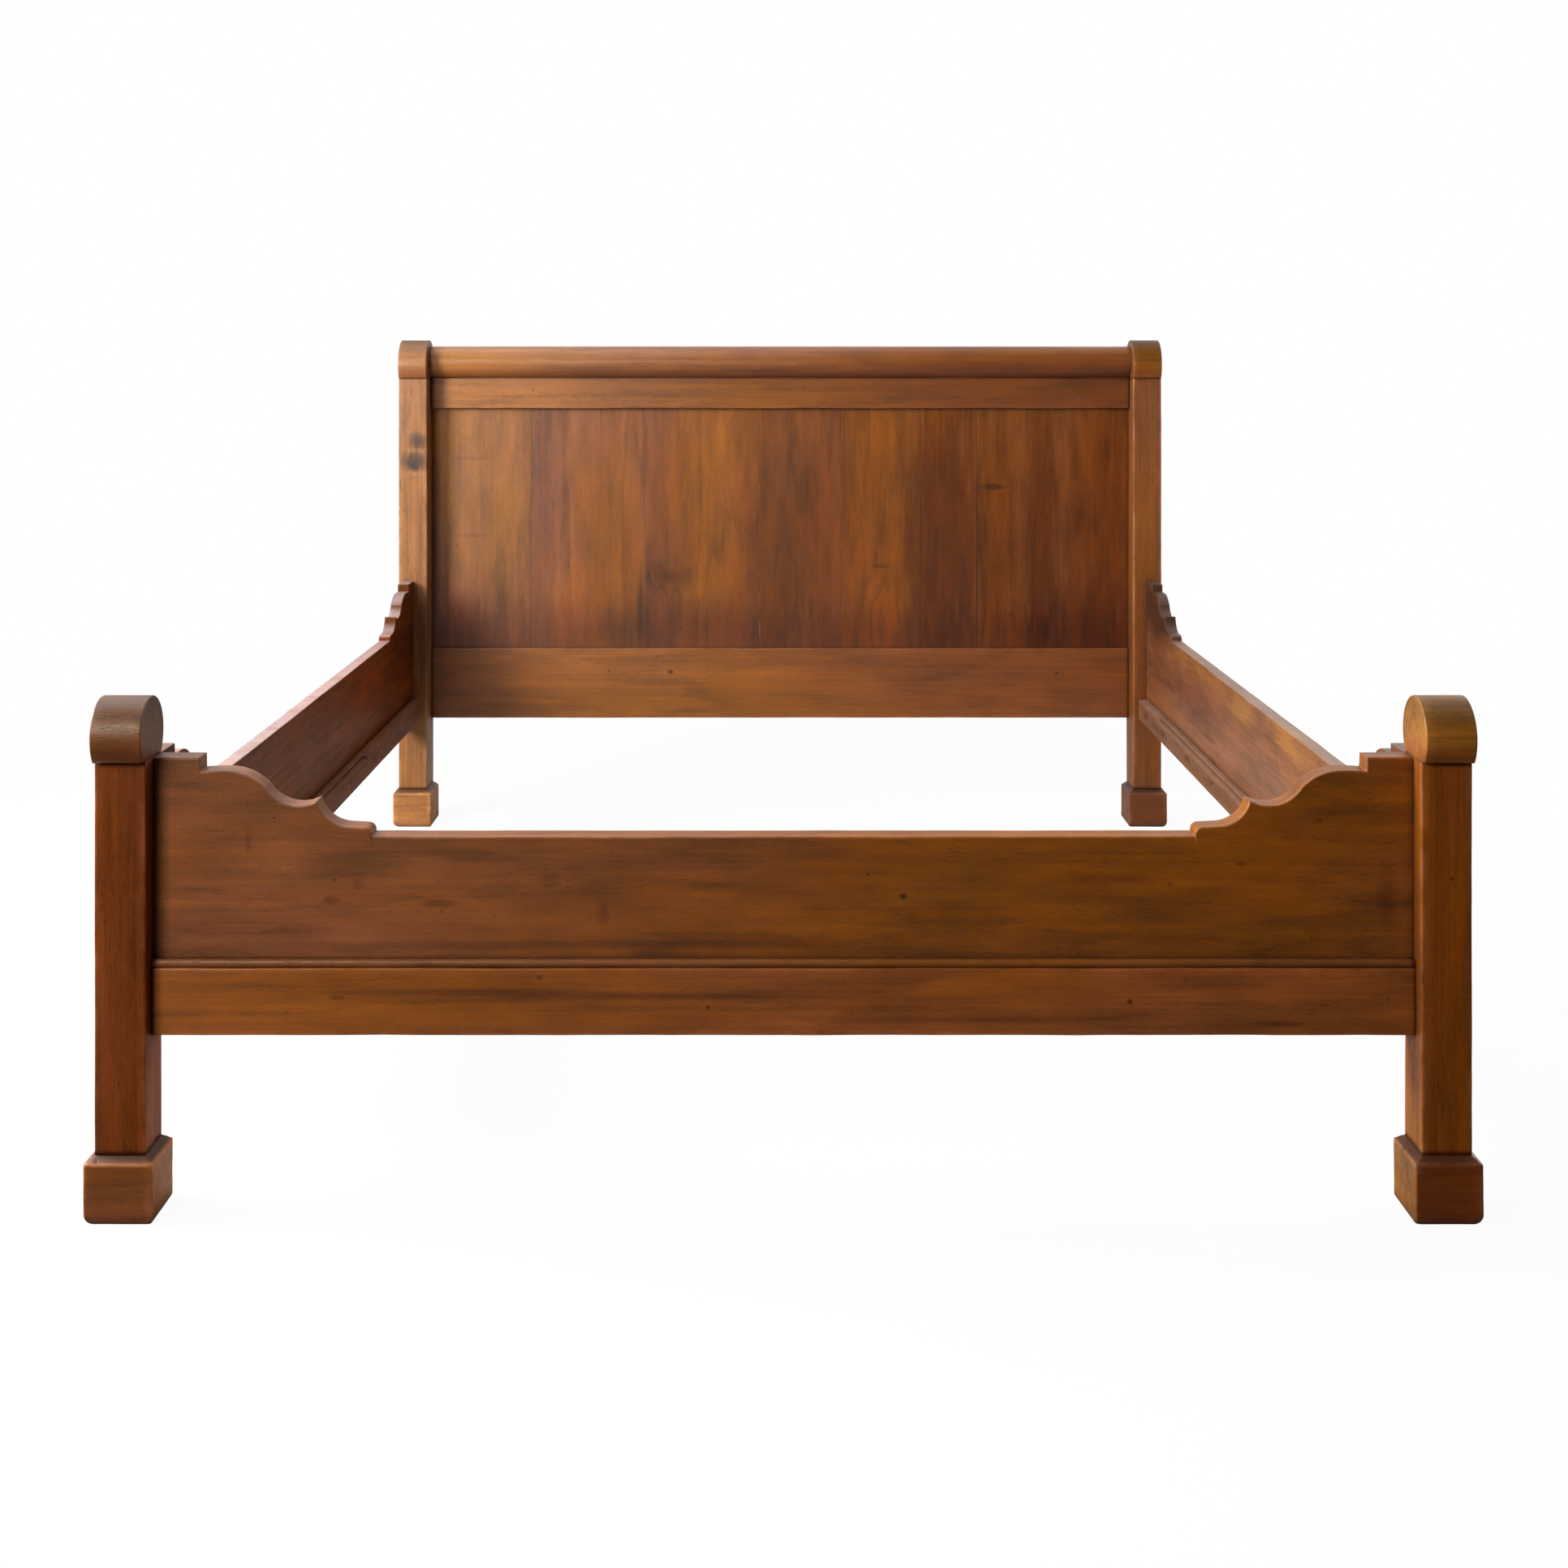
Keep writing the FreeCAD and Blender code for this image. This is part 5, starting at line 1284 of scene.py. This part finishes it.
class BED_OT_sides(bpy.types.Operator):
    """Make both scalloped side rails and the ledgers on them"""

    bl_idname = "bed.make_sides"
    bl_label = "Side rails"
    bl_options = {"REGISTER", "UNDO"}

    def execute(self, context):
        # The two sides are lit and shaded copies: the left rail and ledger are tinted darker as painted
        # shade, the right ones paler and bluer as painted light and sheen, also on their tops.
        tints = {"left": (0.62, 0.38, 0.12), "right": (0.97, 1.17, 2.5)}
        dust_and_sheen_tints = {"left": (0.74, 0.79, 1.0), "right": (0.5, 0.48, 0.49)}
        ledger_tints = {"left": (0.55, 0.34, 0.12), "right": (0.7, 0.98, 3.1)}
        ledger_dust_and_sheen = {"left": 0.15, "right": 0.35}
        gloss = {"left": 0.08, "right": 0.5}
        plane = 0.817
        marks = {
            "left": [
                # Painted shade on the left rail's inner face near the head, and a painted sheen on its top
                # there.
                mark((-plane, 0.90, 0.46), (0.06, 0.22, 0.12), (0.6, 0.5, 0.4), 0.7, 0.3),
                mark((-0.83, 0.86, 0.51), (0.06, 0.24, 0.05), (1.25, 1.65, 2.0), 0.7, 0.2),
                mark((-0.83, -0.35, 0.47), (0.06, 0.3, 0.02), (0.72, 0.82, 0.86), 0.7, 0.2),
                mark((-0.83, -0.95, 0.56), (0.06, 0.17, 0.05), (0.42, 0.36, 0.3), 0.4, 0.1),
                mark((-plane, 0.47, 0.40), (0.02, 0.15, 0.03), (1.3, 1.0, 0.8), 0.9, 0.6),
            ],
            "right": [
                mark((0.83, 0.42, 0.47), (0.06, 0.30, 0.02), (0.75, 0.72, 0.7), 0.7, 0.2),
                # Painted shade on the right rail's ogee near the head.
                mark((plane, 0.86, 0.50), (0.06, 0.26, 0.07), (0.26, 0.22, 0.2), 0.5, 0.2),
                mark((plane, 0.88, 0.38), (0.02, 0.14, 0.10), (0.75, 0.68, 0.75), 0.8, 0.3),
                mark((0.83, -0.95, 0.56), (0.06, 0.18, 0.06), (0.5, 0.46, 0.44), 0.5, 0.1),
                mark((plane, 0.05, 0.424), (0.02, 0.08, 0.022), (1.35, 1.6, 1.15), 0.7, 0.6),
                mark((plane, -0.28, 0.437), (0.02, 0.10, 0.022), (1.3, 1.45, 1.05), 0.7, 0.6),
                mark((plane, 0.55, 0.440), (0.02, 0.20, 0.014), (1.3, 1.35, 0.9), 0.8, 0.6),
                mark((plane, 0.50, 0.375), (0.02, 0.30, 0.035), (0.68, 0.6, 0.8), 0.8, 0.5),
                mark((plane, -0.10, 0.345), (0.02, 0.18, 0.035), (0.9, 0.95, 1.4), 0.9, 0.5),
            ],
        }
        for seed, side in enumerate(("left", "right"), 131):
            node = f"side_rail_{side}"
            low, high = box_of(node)
            # The left rail's outer face takes back part of the painted shade in the rail's tint.
            if side == "left":
                outer = (low[0], 0.0, 0.38)
                marks[side].append(mark(outer, (0.002, 3.0, 0.8), (0.85, 1.4, 2.2), 0.3, 0.1))
            wood = walnut(f"side rail {side} walnut", Y_AXIS, seed * 0.23, tints[side], rings=8.0,
                          cloud=0.9, dust_and_sheen=0.75, dust_and_sheen_tint=dust_and_sheen_tints[side], gloss=gloss[side],
                          marks=marks[side])
            path = scallop_path(high[1] - low[1], low[2] + 0.233, 0.092, 0.214, 0.16, 0.06)
            path[:, 0] += low[1]
            add_scalloped(node, Y_AXIS, wood, seed, path, low[2], low[0], high[0])
            face = -0.80 if side == "left" else 0.80
            dents = [
                mark((face, place, 0.268), (0.03, 0.020, 0.006), (0.55, 0.45, 0.42), 0.7, 0.7)
                for place in (0.85, 0.66, 0.41, 0.18, -0.07, -0.33)
            ]
            wood = walnut(f"ledger {side} walnut", Y_AXIS, seed * 0.31, ledger_tints[side], rings=6.0,
                          rub=0.3, rough=0.6, gloss=0.2, dust_and_sheen=ledger_dust_and_sheen[side], marks=dents)
            self.add_ledger(side, wood, seed + 10)
        return {"FINISHED"}

    def add_ledger(self, side, wood, seed):
        """The batten under the slats. Its section is an L where the top edge is rebated and a
        rectangle elsewhere, with small rounded corners, and its width shrinks by a quarter
        circle at each end. The face keeps 0.4 mm clear of the pegs' ends."""
        node = f"slat_ledger_{side}"
        low, high = box_of(node)
        rebate_end = {"left": 0.607, "right": 0.227}[side]
        rebate_depth, rebate_width = 0.006, 0.011
        peg_gap = 0.0004
        nose = 0.014
        first, last = low[1] + 0.09, high[1] - rebate_end
        places = place_steps(low[1], high[1], 0.008, extra=(first, last))
        inside = np.clip(nose - np.minimum(places - low[1], high[1] - places), 0.0, nose)
        shrink = (nose - np.sqrt(nose ** 2 - inside ** 2)) * 0.999
        width = (high[0] - low[0]) - peg_gap - shrink
        tall = np.full(len(places), high[2] - low[2])
        run = np.clip(np.minimum(places - first, last - places) / 0.0012, 0.0, 1.0)
        step = tall - (rebate_depth * run + 0.00001)
        ledge = width - np.minimum(rebate_width, width * 0.4)
        zero = np.zeros(len(places))
        section = ((zero, zero), (width, zero), (width, step), (ledge, step), (ledge, tall), (zero, tall))
        corners = np.stack([np.stack(corner, axis=-1) for corner in section], axis=1)
        ring, edge = rounded_outline(corners, 0.0016, 5)
        across = low[0] + ring[..., 0] if side == "left" else high[0] - ring[..., 0]
        points = carry(np.stack([across, low[2] + ring[..., 1]], axis=-1), places, Y_AXIS)
        add_surface(node, wander(points, seed, wear().face_wave * 0.5), edge, wood)


class BED_OT_fittings(bpy.types.Operator):
    """Finish the hidden plates, screws, dowels and pegs"""

    bl_idname = "bed.finish_fittings"
    bl_label = "Fittings and pins"
    bl_options = {"REGISTER", "UNDO"}

    def execute(self, context):
        plates = [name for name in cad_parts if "plate" in name and "screws" not in name]
        screws = [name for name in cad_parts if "screws" in name]
        pins = [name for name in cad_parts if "dowels" in name or "pegs" in name]
        dress(dull_steel("forged plate steel", 0.3), *plates)
        dress(dull_steel("screw steel", 1.9), *screws)
        dress(walnut("oak pins", X_AXIS, 9.0, (1.3, 1.7, 2.4), rings=20.0), *pins)
        return {"FINISHED"}


# Each lamp's place, target, width and height, and colour. Its power is a setting.
LAMPS = {
    "window": ((-2.2, -0.8, 1.4), (0.4, 0.3, 0.5), (0.8, 1.0), (1.0, 0.98, 0.94)),
    "fill": ((-1.7, -3.3, 1.8), (0.2, -1.2, 0.3), (1.4, 1.2), (1.0, 0.88, 0.7)),
    "wall": ((2.6, 0.9, 0.9), (-0.6, -0.9, 0.1), (1.6, 1.4), (1.0, 0.9, 0.76)),
    "ceiling": ((-1.1, 0.3, 3.1), (-0.4, 0.2, 0.0), (2.4, 2.4), (1.0, 0.96, 0.93)),
}


class BED_OT_stage(bpy.types.Operator):
    """Set up floor, lamps, surroundings and camera"""

    bl_idname = "bed.make_stage"
    bl_label = "Stage"
    bl_options = {"REGISTER", "UNDO"}

    def execute(self, context):
        self.make_floor()
        self.make_world()
        for name, (place, target, size, colour) in LAMPS.items():
            self.add_lamp(name, place, target, getattr(stage(), name + "_power"), size, colour)
        self.make_camera()
        return {"FINISHED"}

    def make_floor(self):
        """A pale floor that keeps the bed's soft shadow and fades to white further out. Gloss
        shows it dim, a little brighter beside and behind the bed than in front of it."""
        size = 30.0
        mesh = bpy.data.meshes.new("floor")
        corners = [(-size, -size, 0.0), (size, -size, 0.0), (size, size, 0.0), (-size, size, 0.0)]
        mesh.from_pydata(corners, [], [(0, 1, 2, 3)])
        floor = add_object("floor", mesh)
        material, tree = new_material("pale floor")
        space = tree.add("ShaderNodeTexCoord").outputs["Object"]
        distance = tree.vector("LENGTH", tree.vector("MULTIPLY", space, (0.8, 0.6, 0.0)))
        rays = tree.add("ShaderNodeLightPath").outputs
        seen = tree.math("MAXIMUM", rays["Is Camera Ray"], rays["Is Transmission Ray"])
        behind = tree.span(tree.part(space)["Y"], -1.15, -0.8, 0.02, 1.0, True)
        gloss = tree.math("MULTIPLY", rays["Is Glossy Ray"], tree.math("MULTIPLY", behind, 0.2))
        seen = tree.math("MAXIMUM", seen, gloss)
        bounce = tree.mix(behind, (0.12, 0.1, 0.08, 1.0), (0.5, 0.45, 0.38, 1.0))
        matte = tree.made("ShaderNodeBsdfDiffuse", {"Color": tree.mix(seen, bounce, (0.9, 0.9, 0.9, 1.0))})
        bright = tree.made("ShaderNodeEmission", {"Color": WHITE})
        fade = tree.span(distance, 0.9, 2.2, 0.94, 1.0, True)
        tree.end(tree.blend(tree.math("MULTIPLY", seen, fade), matte, bright))
        mesh.materials.append(material)

    def make_world(self):
        """White for the camera. For gloss it is white behind and above the bed and dimmer in
        front of it, as in a room with its windows at the back, and so is the soft light."""
        world = bpy.data.worlds.new("studio")
        bpy.context.scene.world = world
        world.use_nodes = True
        world.node_tree.nodes.clear()
        tree = Tree(world.node_tree)
        rays = tree.add("ShaderNodeLightPath").outputs
        way = tree.part(tree.add("ShaderNodeTexCoord").outputs["Generated"])
        high = tree.math("ADD", way["Y"], tree.math("MULTIPLY", way["Z"], 0.3))
        back = tree.span(high, -0.2, 0.5, 0.02, 1.0, True)
        gloss = tree.math("MULTIPLY", rays["Is Glossy Ray"], back)
        seen = tree.math("MAXIMUM", rays["Is Camera Ray"], gloss)
        seen = tree.math("MAXIMUM", seen, rays["Is Transmission Ray"])
        soft = tree.made("ShaderNodeBackground", {
            "Color": (1.0, 0.97, 0.94, 1.0),
            "Strength": tree.math("MULTIPLY", back, stage().room_light)})
        white = tree.made("ShaderNodeBackground", {"Color": WHITE, "Strength": 1.0})
        tree.end(tree.blend(seen, soft, white), "ShaderNodeOutputWorld")

    def add_lamp(self, name, place, target, power, size, colour):
        """A rectangular soft lamp at a place, turned to face a target."""
        data = bpy.data.lights.new(name, "AREA")
        data.shape = "RECTANGLE"
        data.size, data.size_y = size
        data.energy = power
        data.color = colour
        lamp = add_object(name, data)
        way = np.array(target) - np.array(place)
        way = way / np.linalg.norm(way)
        lamp.location = place
        lamp.rotation_euler = (math.acos(-way[2]), 0.0, math.atan2(-way[0], way[1]))

    def make_camera(self):
        """A level camera at the photograph's angle, its frame moved down and a little right."""
        settings = stage()
        data = bpy.data.cameras.new("camera")
        data.lens = settings.lens
        data.sensor_width = 36.0
        data.shift_x, data.shift_y = settings.shift
        data.clip_end = 100.0
        camera = add_object("camera", data)
        camera.location = settings.camera_place
        camera.rotation_euler = (math.radians(90.0), 0.0, 0.0)
        bpy.context.scene.camera = camera
        bpy.context.scene.view_settings.view_transform = "Standard"


class BED_PT_panel(bpy.types.Panel):
    """Lists the settings and the makers"""

    bl_idname = "BED_PT_panel"
    bl_label = "Walnut Bed"
    bl_space_type = "VIEW_3D"
    bl_region_type = "UI"
    bl_category = "Walnut Bed"

    def draw(self, context):
        layout = self.layout
        for group in (context.scene.bed_wear, context.scene.bed_colours, context.scene.bed_stage):
            box = layout.box()
            for name in group.__annotations__:
                box.prop(group, name)
        for operator in OPERATORS:
            layout.operator(operator.bl_idname)


SETTINGS = {"bed_wear": BedWear, "bed_colours": BedColours, "bed_stage": BedStage}
OPERATORS = (
    BED_OT_footboard,
    BED_OT_posts,
    BED_OT_caps,
    BED_OT_blocks,
    BED_OT_headboard,
    BED_OT_sides,
    BED_OT_fittings,
    BED_OT_stage,
)
CLASSES = tuple(SETTINGS.values()) + OPERATORS + (BED_PT_panel,)


def register():
    for item in CLASSES:
        bpy.utils.register_class(item)
    for name, item in SETTINGS.items():
        setattr(bpy.types.Scene, name, bpy.props.PointerProperty(type=item))


def unregister():
    for name in SETTINGS:
        delattr(bpy.types.Scene, name)
    for item in reversed(CLASSES):
        bpy.utils.unregister_class(item)


def main():
    register()
    bpy.ops.bed.make_footboard()
    bpy.ops.bed.make_posts()
    bpy.ops.bed.make_caps()
    bpy.ops.bed.make_blocks()
    bpy.ops.bed.make_headboard()
    bpy.ops.bed.make_sides()
    bpy.ops.bed.finish_fittings()
    bpy.ops.bed.make_stage()


if __name__ == "__main__":
    main()
